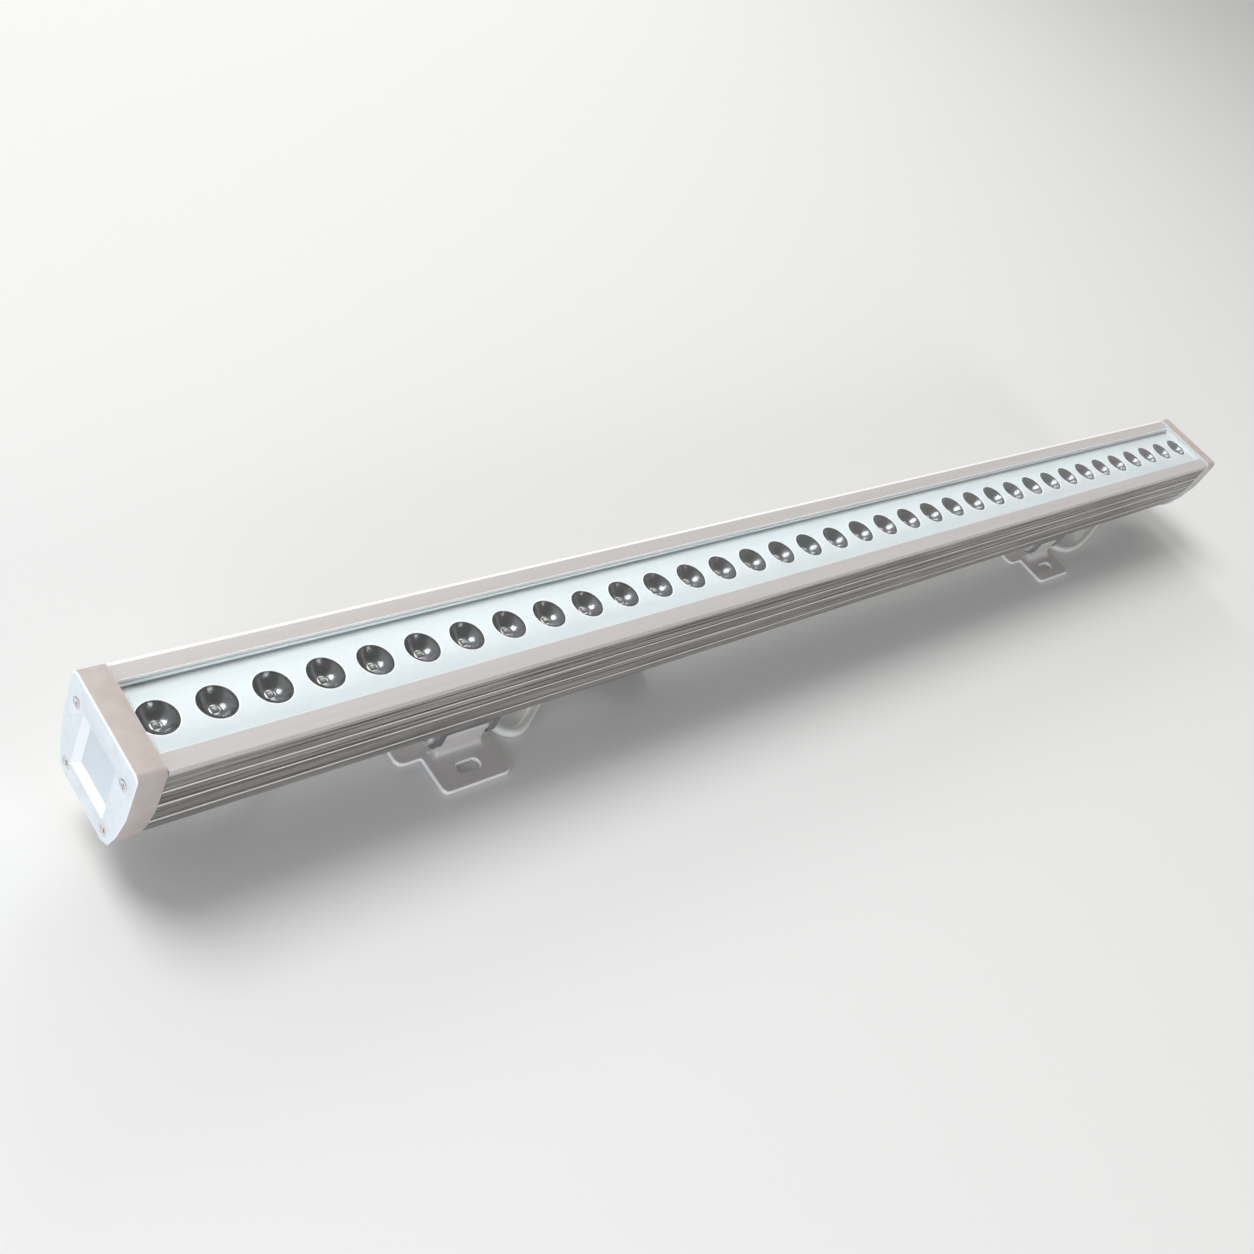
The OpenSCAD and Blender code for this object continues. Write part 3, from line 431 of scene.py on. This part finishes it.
# Hinge blocks: milled aluminium brackets under the housing, their two ears on either
# side of the pivot barrel. The cutter leaves bright lines along them, drawn 0.5 mm wide,
# since the real ones are too fine to show.
milled_aluminium = finish("aluminium_milled", ("#9A9B9D", "#B4B5B7"), 0.5, (0.3, 0.42),
                          0.5, 0.02, (0.03, 1, 1), Metallic=0.9)
dress(milled_aluminium, "hinge_block")

# Screws, bolts and nuts: stainless steel, cold formed, threaded and passivated, so they
# are bright with a faint grey cast and fine turning marks.
stainless = finish("stainless_steel_passivated", ("#CDCED0", "#DEDFE0"), 0.4, (0.3, 0.42),
                   0.4, 0.01, Metallic=0.6)
dress(stainless, "hinge_screws", "pivot_bolt", "pivot_nut", "cap_screws", "board_screws")

# Pivot washers: natural nylon, punched from sheet and slipped on between barrel and
# ears; waxy and a little translucent.
nylon = finish("nylon_sheet_natural", ("#DEDDD6", "#EAE9E3"), 3, (0.4, 0.5), 0.4, 0.02,
               Subsurface_Weight=0.1)
dress(nylon, "pivot_washers")

# Housing: one aluminium extrusion. Its lips are brushed and coated a warm pale grey, and
# its ribbed sides keep the skin of the die, drawn in fine lines along the light and painted
# darker than the lips as painted shade, with painted highlights on the beads, the rear
# arris and the lips' inner edges.
UNDERSIDE_Z = 25.5 * MM
HOUSING_H = 56.7 * MM
LIP_EDGE_H = 2.6 * MM
BEAD_W = 1.6 * MM
BEAD_SHARES = 0.741, 0.577, 0.323
LIP_EDGE_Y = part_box("housing")[1].y
LIP_W = 10 * MM
ARRIS_HIGHLIGHT_W = 1.5 * MM
INNER_EDGE_W = 0.1 * MM
STREAK_MM = 0.45
BAND_MM = 4
PEEL_MM = 1.2

# Anodised and brushed: streaks drawn out along the light, wider than the real hairlines
# so that they show, over slow bands of tone and a faint peel
coated_extrusion, tree = new_material("aluminium_extruded_anodised")
height = add(tree, "ShaderNodeSeparateXYZ", "Z",
             Vector=add(tree, "ShaderNodeTexCoord", "Object"))
lip = add(tree, "ShaderNodeMath", operation="GREATER_THAN", i0=height,
          i1=UNDERSIDE_Z + HOUSING_H - LIP_EDGE_H - 0.05 * MM)
# Painted highlight: a band along each bead is mixed to near white
painted_highlight = 0.0
for share in BEAD_SHARES:
    off = add(tree, "ShaderNodeMath", operation="SUBTRACT", i0=height,
              i1=UNDERSIDE_Z + share * HOUSING_H)
    off = add(tree, "ShaderNodeMath", operation="ABSOLUTE", i0=off)
    near = add(tree, "ShaderNodeMapRange", Value=off, From_Min=0.15 * BEAD_W,
               From_Max=0.4 * BEAD_W, To_Min=1.0, To_Max=0.0)
    painted_highlight = add(tree, "ShaderNodeMath", operation="ADD", i0=near, i1=painted_highlight)
streaks = speckle(tree, STREAK_MM, 3, (0.006, 1, 1))
bands = speckle(tree, BAND_MM, 2, (0.02, 1, 1))
peel = speckle(tree, PEEL_MM, 2)
drawn = add(tree, "ShaderNodeMath", operation="MULTIPLY_ADD", i0=bands, i1=0.4, i2=streaks)
drawn = add(tree, "ShaderNodeMapRange", Value=drawn, From_Min=0.55, From_Max=0.85)
# Painted shade: the ribbed sides take darker tones than the lips, under streaks of random tone
shaded_side_tone = add(tree, "ShaderNodeMix", 2, data_type="RGBA", i0=drawn,
                i6=linear("#676564"), i7=linear("#BCB8B5"))
shaded_side_tone = add(tree, "ShaderNodeMix", 2, data_type="RGBA", i0=painted_highlight, i6=shaded_side_tone,
                i7=linear("#ECE8E4"))
lip_tone = add(tree, "ShaderNodeMix", 2, data_type="RGBA", i0=bands, i6=linear("#C1BCBA"),
               i7=linear("#CCC8C6"))
# Painted highlight: a line in from the rear arris of the lip and the lips' inner edges and
# walls turn white
across = add(tree, "ShaderNodeSeparateXYZ", "Y",
             Vector=add(tree, "ShaderNodeTexCoord", "Object"))
lip_highlight = add(tree, "ShaderNodeMapRange", Value=across,
            From_Min=LIP_EDGE_Y - ARRIS_HIGHLIGHT_W - 0.4 * MM, From_Max=LIP_EDGE_Y - ARRIS_HIGHLIGHT_W)
inner_edge_highlight = add(tree, "ShaderNodeMath", operation="SUBTRACT", i0=across, i1=MID_Y)
inner_edge_highlight = add(tree, "ShaderNodeMath", operation="ABSOLUTE", i0=inner_edge_highlight)
inner_y = LIP_EDGE_Y - MID_Y - LIP_W + INNER_EDGE_W
inner_edge_highlight = add(tree, "ShaderNodeMapRange", Value=inner_edge_highlight, From_Min=inner_y,
           From_Max=inner_y + 0.2 * MM, To_Min=1.0, To_Max=0.0)
lip_highlight = add(tree, "ShaderNodeMath", operation="MAXIMUM", i0=lip_highlight, i1=inner_edge_highlight)
lip_tone = add(tree, "ShaderNodeMix", 2, data_type="RGBA", i0=lip_highlight, i6=lip_tone,
               i7=linear("#FFFFFF"))
tone = add(tree, "ShaderNodeMix", 2, data_type="RGBA", i0=lip, i6=shaded_side_tone, i7=lip_tone)
rough = add(tree, "ShaderNodeMapRange", Value=streaks, From_Min=0.3, From_Max=0.7,
            To_Min=0.36, To_Max=0.48)
metal = add(tree, "ShaderNodeMapRange", Value=lip, To_Min=0.6, To_Max=0.2)
relief = add(tree, "ShaderNodeMath", operation="MULTIPLY_ADD", i0=peel, i1=0.2, i2=streaks)
relief = add(tree, "ShaderNodeBump", Height=relief, Distance=0.02 * MM)
shader = add(tree, "ShaderNodeBsdfPrincipled", Base_Color=tone, Metallic=metal,
             Roughness=rough, Normal=relief)
add(tree, "ShaderNodeOutputMaterial", Surface=shader)
dress(coated_extrusion, "housing")

# End caps: cast aluminium, shot blasted and powder coated the same warm light grey,
# with a rounded rim and a square pocket whose walls slope in.
HALF_L = 500 * MM
CAP_T = 13.4 * MM
CAP_HALF_W = 30.4 * MM
CAP_H = 58.7 * MM
CAP_Z = 25.0 * MM
CAP_EDGE = 0.9 * MM
CAP_INNER_EDGE = 0.35 * MM
SIDE_SHARES = [(1, 0.52), (0.907, 0.254), (0.78, 0.058), (0.6, 0)]
CORNER_RADII = 3.5, 30, 40, 3, 1.5
POCKET_HALF_W = 15.5 * MM
POCKET_HALF_H = 16.5 * MM
POCKET_D = 3 * MM
POCKET_CORNER_R = 0.8
POCKET_STEPS = [(1, 0.7), (0, 0.35), (-0.1, 0.1), (-0.3, -0.2), (-2.7, -2.6),
                (-2.9, -2.85), (-3, -3.2)]
NOTCH_HALF_W = 16 * MM
NOTCH_TOP = 26.2 * MM
CAP_SCREWS = [(22.21, 44.5), (18.705, 7.1)]
SCREW_SINK = [(-1, 3.5), (0, 3.4), (0.08, 3.18), (0.25, 3.1), (0.3, 3.1), (2.0, 1.65),
              (15, 1.6)]


def cap_ring(x, inset):
    """The cap's outline at a place along the light, drawn in by the inset."""
    w = (CAP_HALF_W - inset) / MM
    h = (CAP_H - 2 * inset) / MM
    z0 = (CAP_Z + inset) / MM
    half = [(w, z0 + h)] + [(a * w, z0 + b * h) for a, b in SIDE_SHARES]
    corners = [(p, r) for p, r in zip(half, CORNER_RADII)]
    corners += [((-p[0], p[1]), r) for p, r in reversed(corners)]
    return [(x, MID_Y + p.x, p.y) for p in rounded(corners)]


def pocket_ring(x, grow):
    """The pocket's outline, made larger all round."""
    w, h = (POCKET_HALF_W + grow) / MM, (POCKET_HALF_H + grow) / MM
    mid_z = UNDERSIDE_Z + HOUSING_H / 2
    corners = [((w, h), POCKET_CORNER_R), ((-w, h), POCKET_CORNER_R),
               ((-w, -h), POCKET_CORNER_R), ((w, -h), POCKET_CORNER_R)]
    return [(x, MID_Y + p.x, mid_z + p.y) for p in rounded(corners, 4)]


# Powder coat over a blasted casting: matt and very slightly grained, in warm grey round
# the rim; the face is painted pale and cool as painted light, the pocket's floor a little
# darker as painted shade, and the rim's rounded edges and the pocket's sloping walls near
# white as painted highlights
coated_casting, tree = new_material("aluminium_cast_powder_coated")
cloud = add(tree, "ShaderNodeMapRange", Value=speckle(tree, 9, 4), From_Min=0.35,
            From_Max=0.75)
grain = speckle(tree, 0.8, 3)
slope = add(tree, "ShaderNodeSeparateXYZ", "X", Vector=add(tree, "ShaderNodeNewGeometry",
                                                           "Normal"))
slope = add(tree, "ShaderNodeMath", operation="ABSOLUTE", i0=slope)
face = add(tree, "ShaderNodeMapRange", Value=slope, From_Min=0.25, From_Max=0.6)
band_tone = add(tree, "ShaderNodeMix", 2, data_type="RGBA", i0=cloud, i6=linear("#C4BAB5"),
                i7=linear("#B7ACA6"))
# Painted light: the faces that look along the light take a pale, cool tone
lit_face_tone = add(tree, "ShaderNodeMix", 2, data_type="RGBA", i0=cloud, i6=linear("#DAE1E6"),
                i7=linear("#CDD5DB"))
along = add(tree, "ShaderNodeSeparateXYZ", "X",
            Vector=add(tree, "ShaderNodeTexCoord", "Object"))
along = add(tree, "ShaderNodeMath", operation="ABSOLUTE", i0=along)
# Painted shade: the floor of the pocket is a little darker than the face
pocket_floor_shade = add(tree, "ShaderNodeMapRange", Value=along, From_Min=HALF_L - POCKET_D + 0.15 * MM,
           From_Max=HALF_L - POCKET_D + 0.25 * MM, To_Min=1.0, To_Max=0.0)
lit_face_tone = add(tree, "ShaderNodeMix", 2, data_type="RGBA", i0=pocket_floor_shade, i6=lit_face_tone,
                i7=linear("#C6D0D7"))
tone = add(tree, "ShaderNodeMix", 2, data_type="RGBA", i0=face, i6=band_tone, i7=lit_face_tone)
# Painted highlight: the rounded rim and the pocket's sloping walls, neither face-on nor
# side-on, turn near white
highlight_slope = add(tree, "ShaderNodeMapRange", Value=slope, From_Min=0.97, From_Max=0.9)
painted_highlight = add(tree, "ShaderNodeMath", operation="MULTIPLY", i0=highlight_slope, i1=face)
tone = add(tree, "ShaderNodeMix", 2, data_type="RGBA", i0=painted_highlight, i6=tone,
           i7=linear("#F2F4F6"))
rough = add(tree, "ShaderNodeMapRange", Value=grain, From_Min=0.3, From_Max=0.7,
            To_Min=0.4, To_Max=0.52)
relief = add(tree, "ShaderNodeBump", Height=grain, Distance=0.03 * MM)
shader = add(tree, "ShaderNodeBsdfPrincipled", Base_Color=tone, Metallic=0.1,
             Roughness=rough, Normal=relief)
add(tree, "ShaderNodeOutputMaterial", Surface=shader)
for side, s in (("left", -1), ("right", 1)):
    inner = s * (HALF_L - CAP_T)
    rings = []
    for k in range(4):
        a = math.pi / 2 * k / 3
        rings.append(cap_ring(inner + s * CAP_INNER_EDGE * (1 - math.cos(a)),
                              CAP_INNER_EDGE * (1 - math.sin(a))))
    for k in range(7):
        a = math.pi / 2 * k / 6
        rings.append(cap_ring(s * (HALF_L - CAP_EDGE * (1 - math.sin(a))),
                              CAP_EDGE * (1 - math.cos(a))))
    cap = loft("cap_casting_" + side, rings)
    pocket = loft("pocket", [pocket_ring(s * (HALF_L + reach * MM), grow * MM)
                             for reach, grow in POCKET_STEPS])
    notch = loft("notch", [[(x, MID_Y - NOTCH_HALF_W, CAP_Z - MM),
                            (x, MID_Y + NOTCH_HALF_W, CAP_Z - MM),
                            (x, MID_Y + NOTCH_HALF_W, NOTCH_TOP),
                            (x, MID_Y - NOTCH_HALF_W, NOTCH_TOP)]
                           for x in (s * (HALF_L - CAP_T - MM), s * (HALF_L + MM))])
    tools = [pocket, notch]
    for y, z in CAP_SCREWS:
        for k in (-1, 1):
            tools.append(turned_x("hole", MID_Y + k * y * MM, UNDERSIDE_Z + z * MM,
                                  [(s * (HALF_L - depth * MM), radius * MM)
                                   for depth, radius in SCREW_SINK]))
    combine(cap, tools, "DIFFERENCE")
    cap.data.materials.clear()
    cap.data.materials.append(coated_casting)
    shade_smooth(cap, 32)
    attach(cap, "housing")
    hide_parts("end_cap_" + side)

# Seals: white silicone rubber, die cut from sheet and squeezed under the end caps and
# the cover glass.
silicone = finish("silicone_rubber_sheet_white", ("#DCDEDD", "#E8E9E9"), 4, (0.45, 0.6),
                  0.5, 0.02)
dress(silicone, "end_gasket", "glass_seal")

# Cover glass: float glass, cut and toughened, with ground edges that show the green of
# its iron. Rays from lamps pass straight through, as through a thin clear pane.
ARRIS = 0.35 * MM
float_glass, tree = new_material("glass_float_toughened")
pane = add(tree, "ShaderNodeBsdfPrincipled", Base_Color=linear("#FEFFFF"), Roughness=0.0,
           Transmission_Weight=1.0, IOR=1.5)
open_way = add(tree, "ShaderNodeBsdfTransparent", Color=linear("#FEFFFF"))
lamp_ray = add(tree, "ShaderNodeLightPath", "Is Shadow Ray")
both = add(tree, "ShaderNodeMixShader", i0=lamp_ray, i1=pane, i2=open_way)
add(tree, "ShaderNodeOutputMaterial", Surface=both)
ground_glass = finish("glass_edge_ground", ("#E2F0EE", "#EEF8F6"), 0.4, (0.5, 0.7), 0.3,
                      0.02)
low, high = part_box("cover_glass")
glass = loft("glass_pane", [
    [(low.x + e, low.y + e, z), (high.x - e, low.y + e, z), (high.x - e, high.y - e, z),
     (low.x + e, high.y - e, z)]
    for z, e in ((low.z, ARRIS), (low.z + ARRIS, 0), (high.z - ARRIS, 0), (high.z, ARRIS))])
glass.data.materials.append(float_glass)
glass.data.materials.append(ground_glass)
for face in glass.data.polygons:
    face.material_index = int(abs(face.normal.z) < 0.99)
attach(glass, "housing")
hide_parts("cover_glass")

# Window mask: white polyester film printed on its back, with a round window at each
# optic; a thin ring round each window is painted white as the highlight on its edge.
OPTIC_COUNT = 36
OPTIC_PITCH = 27.2 * MM
WINDOW_R = 9.35 * MM
WINDOW_HIGHLIGHT_W = 0.55 * MM
white_film, tree = new_material("polyester_film_white")
place = add(tree, "ShaderNodeTexCoord", "Object")
x = add(tree, "ShaderNodeSeparateXYZ", "X", Vector=place)
y = add(tree, "ShaderNodeSeparateXYZ", "Y", Vector=place)
x = add(tree, "ShaderNodeMath", operation="ADD", i0=x, i1=OPTIC_PITCH / 2)
x = add(tree, "ShaderNodeMath", operation="WRAP", i0=x, i1=OPTIC_PITCH / 2,
        i2=-OPTIC_PITCH / 2)
y = add(tree, "ShaderNodeMath", operation="SUBTRACT", i0=y, i1=MID_Y)
radius = add(tree, "ShaderNodeVectorMath", 1, operation="LENGTH",
             i0=add(tree, "ShaderNodeCombineXYZ", X=x, Y=y))
# Painted highlight: a thin white ring round each window
painted_rim = add(tree, "ShaderNodeMapRange", Value=radius, From_Min=WINDOW_R + 0.7 * WINDOW_HIGHLIGHT_W,
          From_Max=WINDOW_R + 1.3 * WINDOW_HIGHLIGHT_W, To_Min=1.0, To_Max=0.0)
cloud = speckle(tree, 20)
sheet_tone = add(tree, "ShaderNodeMix", 2, data_type="RGBA", i0=cloud,
                 i6=linear("#EFF3F4"), i7=linear("#F2F6F7"))
tone = add(tree, "ShaderNodeMix", 2, data_type="RGBA", i0=painted_rim, i6=sheet_tone,
           i7=linear("#FFFFFF"))
rough = add(tree, "ShaderNodeMapRange", Value=cloud, To_Min=0.4, To_Max=0.6)
shader = add(tree, "ShaderNodeBsdfPrincipled", Base_Color=tone, Roughness=rough)
add(tree, "ShaderNodeOutputMaterial", Surface=shader)
dress(white_film, "window_mask")

# Reflectors: shallow polycarbonate dishes, clipped over the LEDs and vacuum metallised
# to a dark mirror, with fine facets that spread the beam and a darker band at the rim as
# painted shade.
low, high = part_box("reflector_cups_left")
DISH_Z = low.z
DISH_H = high.z - low.z
DISH_WALL = 0.5 * MM
DISH_THROAT_R = 2.6 * MM
DISH_CURVE = 1.7
DISH_RIM_H = 0.5 * MM
DISH_RINGS = 14
DISH_SIDES = 40


def circle_ring(radius, z, sides):
    """Points of a level circle round the optic's axis."""
    return [(radius * math.cos(2 * math.pi * k / sides),
             radius * math.sin(2 * math.pi * k / sides), z) for k in range(sides)]


# Geometry nodes that repeat a piece along X, with its count, pitch and place
optic_row = bpy.data.node_groups.new("optic_row", "GeometryNodeTree")
for socket, kind in (("Piece", "Object"), ("Count", "Int"), ("Pitch", "Float"),
                     ("Middle", "Vector"), ("Finish", "Material")):
    optic_row.interface.new_socket(socket, in_out="INPUT", socket_type="NodeSocket" + kind)
optic_row.interface.new_socket("Geometry", in_out="OUTPUT",
                               socket_type="NodeSocketGeometry")
given = optic_row.nodes.new("NodeGroupInput").outputs
gaps = add(optic_row, "ShaderNodeMath", operation="SUBTRACT", i0=given["Count"], i1=1.0)
reach = add(optic_row, "ShaderNodeMath", operation="MULTIPLY", i0=gaps, i1=given["Pitch"])
half = add(optic_row, "ShaderNodeMath", operation="MULTIPLY", i0=reach, i1=-0.5)
start = add(optic_row, "ShaderNodeVectorMath", operation="ADD", i0=given["Middle"],
            i1=add(optic_row, "ShaderNodeCombineXYZ", X=half))
step = add(optic_row, "ShaderNodeCombineXYZ", X=given["Pitch"])
line = add(optic_row, "GeometryNodeMeshLine", mode="OFFSET", Count=given["Count"],
           Start_Location=start, Offset=step)
piece = add(optic_row, "GeometryNodeObjectInfo", "Geometry", Object=given["Piece"])
placed = add(optic_row, "GeometryNodeInstanceOnPoints", Points=line, Instance=piece)
real = add(optic_row, "GeometryNodeRealizeInstances", Geometry=placed)
dressed = add(optic_row, "GeometryNodeSetMaterial", Geometry=real,
              Material=given["Finish"])
add(optic_row, "NodeGroupOutput", Geometry=dressed)


def row(name, piece, middle, material):
    """A copy of the piece at each optic, as one plain object; the piece is removed."""
    obj = new_object(name, bpy.data.meshes.new(name))
    step = obj.modifiers.new("row", "NODES")
    step.node_group = optic_row
    given = {"Piece": piece, "Count": OPTIC_COUNT, "Pitch": OPTIC_PITCH, "Middle": middle,
             "Finish": material}
    for item in step.node_group.interface.items_tree:
        if item.in_out == "INPUT":
            step[item.identifier] = given[item.name]
    apply_modifiers(obj)
    bpy.data.objects.remove(piece)
    return obj


# Metallised polycarbonate: a dark mirror; its facets are coarse enough to show
DIMPLE = 0.9 * MM
mirror, tree = new_material("polycarbonate_metallised")
dimples = add(tree, "ShaderNodeTexVoronoi", "Distance", Scale=1 / DIMPLE,
              Vector=add(tree, "ShaderNodeTexCoord", "Object"))
marks = speckle(tree, 0.5)
tone = add(tree, "ShaderNodeMix", 2, data_type="RGBA", i0=marks, i6=linear("#54575A"),
           i7=linear("#787B7E"))
height = add(tree, "ShaderNodeSeparateXYZ", "Z",
             Vector=add(tree, "ShaderNodeTexCoord", "Object"))
rim_z = DISH_Z + DISH_H - DISH_RIM_H
# Painted shade: the band at the top of each dish is darker, for the shadow line under the mask
painted_rim = add(tree, "ShaderNodeMapRange", Value=height, From_Min=rim_z - 0.4 * MM,
          From_Max=rim_z)
tone = add(tree, "ShaderNodeMix", 2, data_type="RGBA", i0=painted_rim, i6=tone,
           i7=linear("#3A3C3E"))
rough = add(tree, "ShaderNodeMapRange", Value=marks, From_Min=0.3, From_Max=0.7,
            To_Min=0.12, To_Max=0.24)
relief = add(tree, "ShaderNodeBump", Height=dimples, Distance=0.03 * MM)
shader = add(tree, "ShaderNodeBsdfPrincipled", Base_Color=tone, Metallic=1.0,
             Roughness=rough, Normal=relief)
add(tree, "ShaderNodeOutputMaterial", Surface=shader)
inside = [(DISH_THROAT_R + (WINDOW_R - DISH_THROAT_R) * i / DISH_RINGS,
           DISH_H * (i / DISH_RINGS) ** DISH_CURVE) for i in range(DISH_RINGS + 1)]
outside = [(r + DISH_WALL, z) for r, z in reversed(inside)]
dish = loft("dish", [circle_ring(r, z, DISH_SIDES) for r, z in inside + outside], True)
dishes = row("reflector_dishes", dish, (0, MID_Y, DISH_Z), mirror)
shade_smooth(dishes, 50)
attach(dishes, "housing")
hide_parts("reflector_cups_left", "reflector_cups_middle", "reflector_cups_right")

# LEDs: grey ceramic bases, each with a glossy dome of clear silicone over a phosphor
# that is pale when unlit, soldered to the board in the middle of its reflector.
LED_HALF = 1.75 * MM
LED_BASE_H = 0.8 * MM
LED_EDGE = 0.15 * MM
DOME_R = 1.4 * MM
DOME_H = 0.8 * MM
DOME_SIDES = 20
DOME_RINGS = 6
DOME_SHARE = 0.97
ceramic = finish("alumina_ceramic_grey", ("#3C3E41", "#4C4E52"), 0.5, (0.35, 0.45), 0.3,
                 0.01)
base = loft("base", [[(-h, -h, z), (h, -h, z), (h, h, z), (-h, h, z)] for z, h in
                     ((0, LED_HALF), (LED_BASE_H - LED_EDGE, LED_HALF),
                      (LED_BASE_H, LED_HALF - LED_EDGE))])
bases = row("led_bases", base, (0, MID_Y, DISH_Z), ceramic)
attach(bases, "housing")
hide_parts("led_emitters")
phosphor = finish("silicone_over_phosphor", ("#8A8984", "#9C9A92"), 1, (0.1, 0.14), 0.5,
                  0.005, Coat_Weight=1.0)
dome_rings = []
for k in range(DOME_RINGS + 1):
    a = math.pi / 2 * k / DOME_RINGS * DOME_SHARE
    dome_rings.append(circle_ring(DOME_R * math.cos(a), LED_BASE_H + DOME_H * math.sin(a),
                                  DOME_SIDES))
dome = loft("dome", dome_rings)
domes = row("led_domes", dome, (0, MID_Y, DISH_Z), phosphor)
shade_smooth(domes, 50)
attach(domes, "housing")
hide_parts("led_emitters")

# Circuit boards: aluminium-core laminate under a printed white solder mask, screwed to
# the housing's web; copper areas stand up faintly under the mask.
solder_mask = finish("solder_mask_white", ("#DADBD6", "#EDEDE9"), 9, (0.3, 0.4), 2, 0.02)
dress(solder_mask, "circuit_boards")

# Terminals: small blocks of white moulded nylon that bridge one board to the next,
# soldered down at both ends.
terminal_nylon = finish("nylon_moulded_white", ("#E4E4E0", "#F0F0EC"), 2, (0.35, 0.45), 0.3,
                        0.02)
dress(terminal_nylon, "board_links")

# Drivers: black moulded cases in the lower chamber, filled with grey polyurethane resin
# that cures to a soft gloss with small sunk ripples.
case_plastic = finish("abs_moulded_black", ("#29292A", "#343435"), 6, (0.45, 0.6), 0.4, 0.04)
dress(case_plastic, "driver_cases")
resin = finish("polyurethane_resin_cast", ("#3A3C40", "#484A4E"), 7, (0.25, 0.35), 7, 0.3)
dress(resin, "driver_filling")

# Inner wires: tinned copper in red extruded silicone between driver and board, and a
# grey sheathed cable from each outlet to the driver.
insulation = finish("silicone_insulation_red", ("#8E1B1B", "#A32222"), 3, (0.4, 0.5), 0.4,
                    0.02)
dress(insulation, "driver_wires")
dress(lead_rubber, "supply_cables")

# Stage: a plain pale floor and soft studio light: a large lamp behind and above, a
# cool one low on the left for the end cap, weaker ones in front and behind, and a pale
# room that is dark in front.
FLOOR_COLOUR = "#E6E6E5"
FLOOR_REACH = 12
FLOOR_DROP = 0.2 * MM
FRONT = (0.1, -0.6, 0.79)
corners = [(-FLOOR_REACH, -FLOOR_REACH), (FLOOR_REACH, -FLOOR_REACH),
           (FLOOR_REACH, FLOOR_REACH), (-FLOOR_REACH, FLOOR_REACH)]
floor_mesh = bpy.data.meshes.new("floor")
floor_mesh.from_pydata([(x, y, -FLOOR_DROP) for x, y in corners], [], [(0, 1, 2, 3)])
floor = new_object("floor", floor_mesh)
floor_paint, tree = new_material("floor_matt_paint")
shader = add(tree, "ShaderNodeBsdfPrincipled", Base_Color=linear(FLOOR_COLOUR),
             Roughness=0.8)
add(tree, "ShaderNodeOutputMaterial", Surface=shader)
floor_mesh.materials.append(floor_paint)


def lamp(name, place, size, watts, colour):
    """A round soft lamp that faces the middle of the light."""
    data = bpy.data.lights.new(name, "AREA")
    data.shape = "DISK"
    data.size = size
    data.energy = watts
    data.color = linear(colour)[:3]
    obj = bpy.data.objects.new(name, data)
    obj.location = place
    obj.rotation_euler = (-Vector(place)).to_track_quat("-Z", "Y").to_euler()
    scene.collection.objects.link(obj)


lamp("key", (-1.5, 1.9, 3.7), 2.3, 118, "#FFFFFF")
lamp("side", (-2.1, -0.9, 0.5), 1.0, 14, "#EAF2FF")
lamp("front", (0.5, -3.2, 1.3), 1.4, 26, "#FFFFFF")
lamp("back", (0.75, 2.0, 1.3), 0.7, 8, "#FFFFFF")
world = bpy.data.worlds.new("studio")
scene.world = world
world.use_nodes = True
tree = world.node_tree
tree.nodes.clear()
facing = add(tree, "ShaderNodeVectorMath", 1, operation="DOT_PRODUCT", i1=FRONT,
             i0=add(tree, "ShaderNodeTexCoord", "Generated"))
level = add(tree, "ShaderNodeMapRange", Value=facing, From_Min=0.48, From_Max=0.86,
            To_Min=0.76, To_Max=0.02, interpolation_type="SMOOTHSTEP")
back = add(tree, "ShaderNodeBackground", Color=linear("#F4F3F1"), Strength=level)
add(tree, "ShaderNodeOutputWorld", Surface=back)

scene.view_settings.view_transform = "Standard"
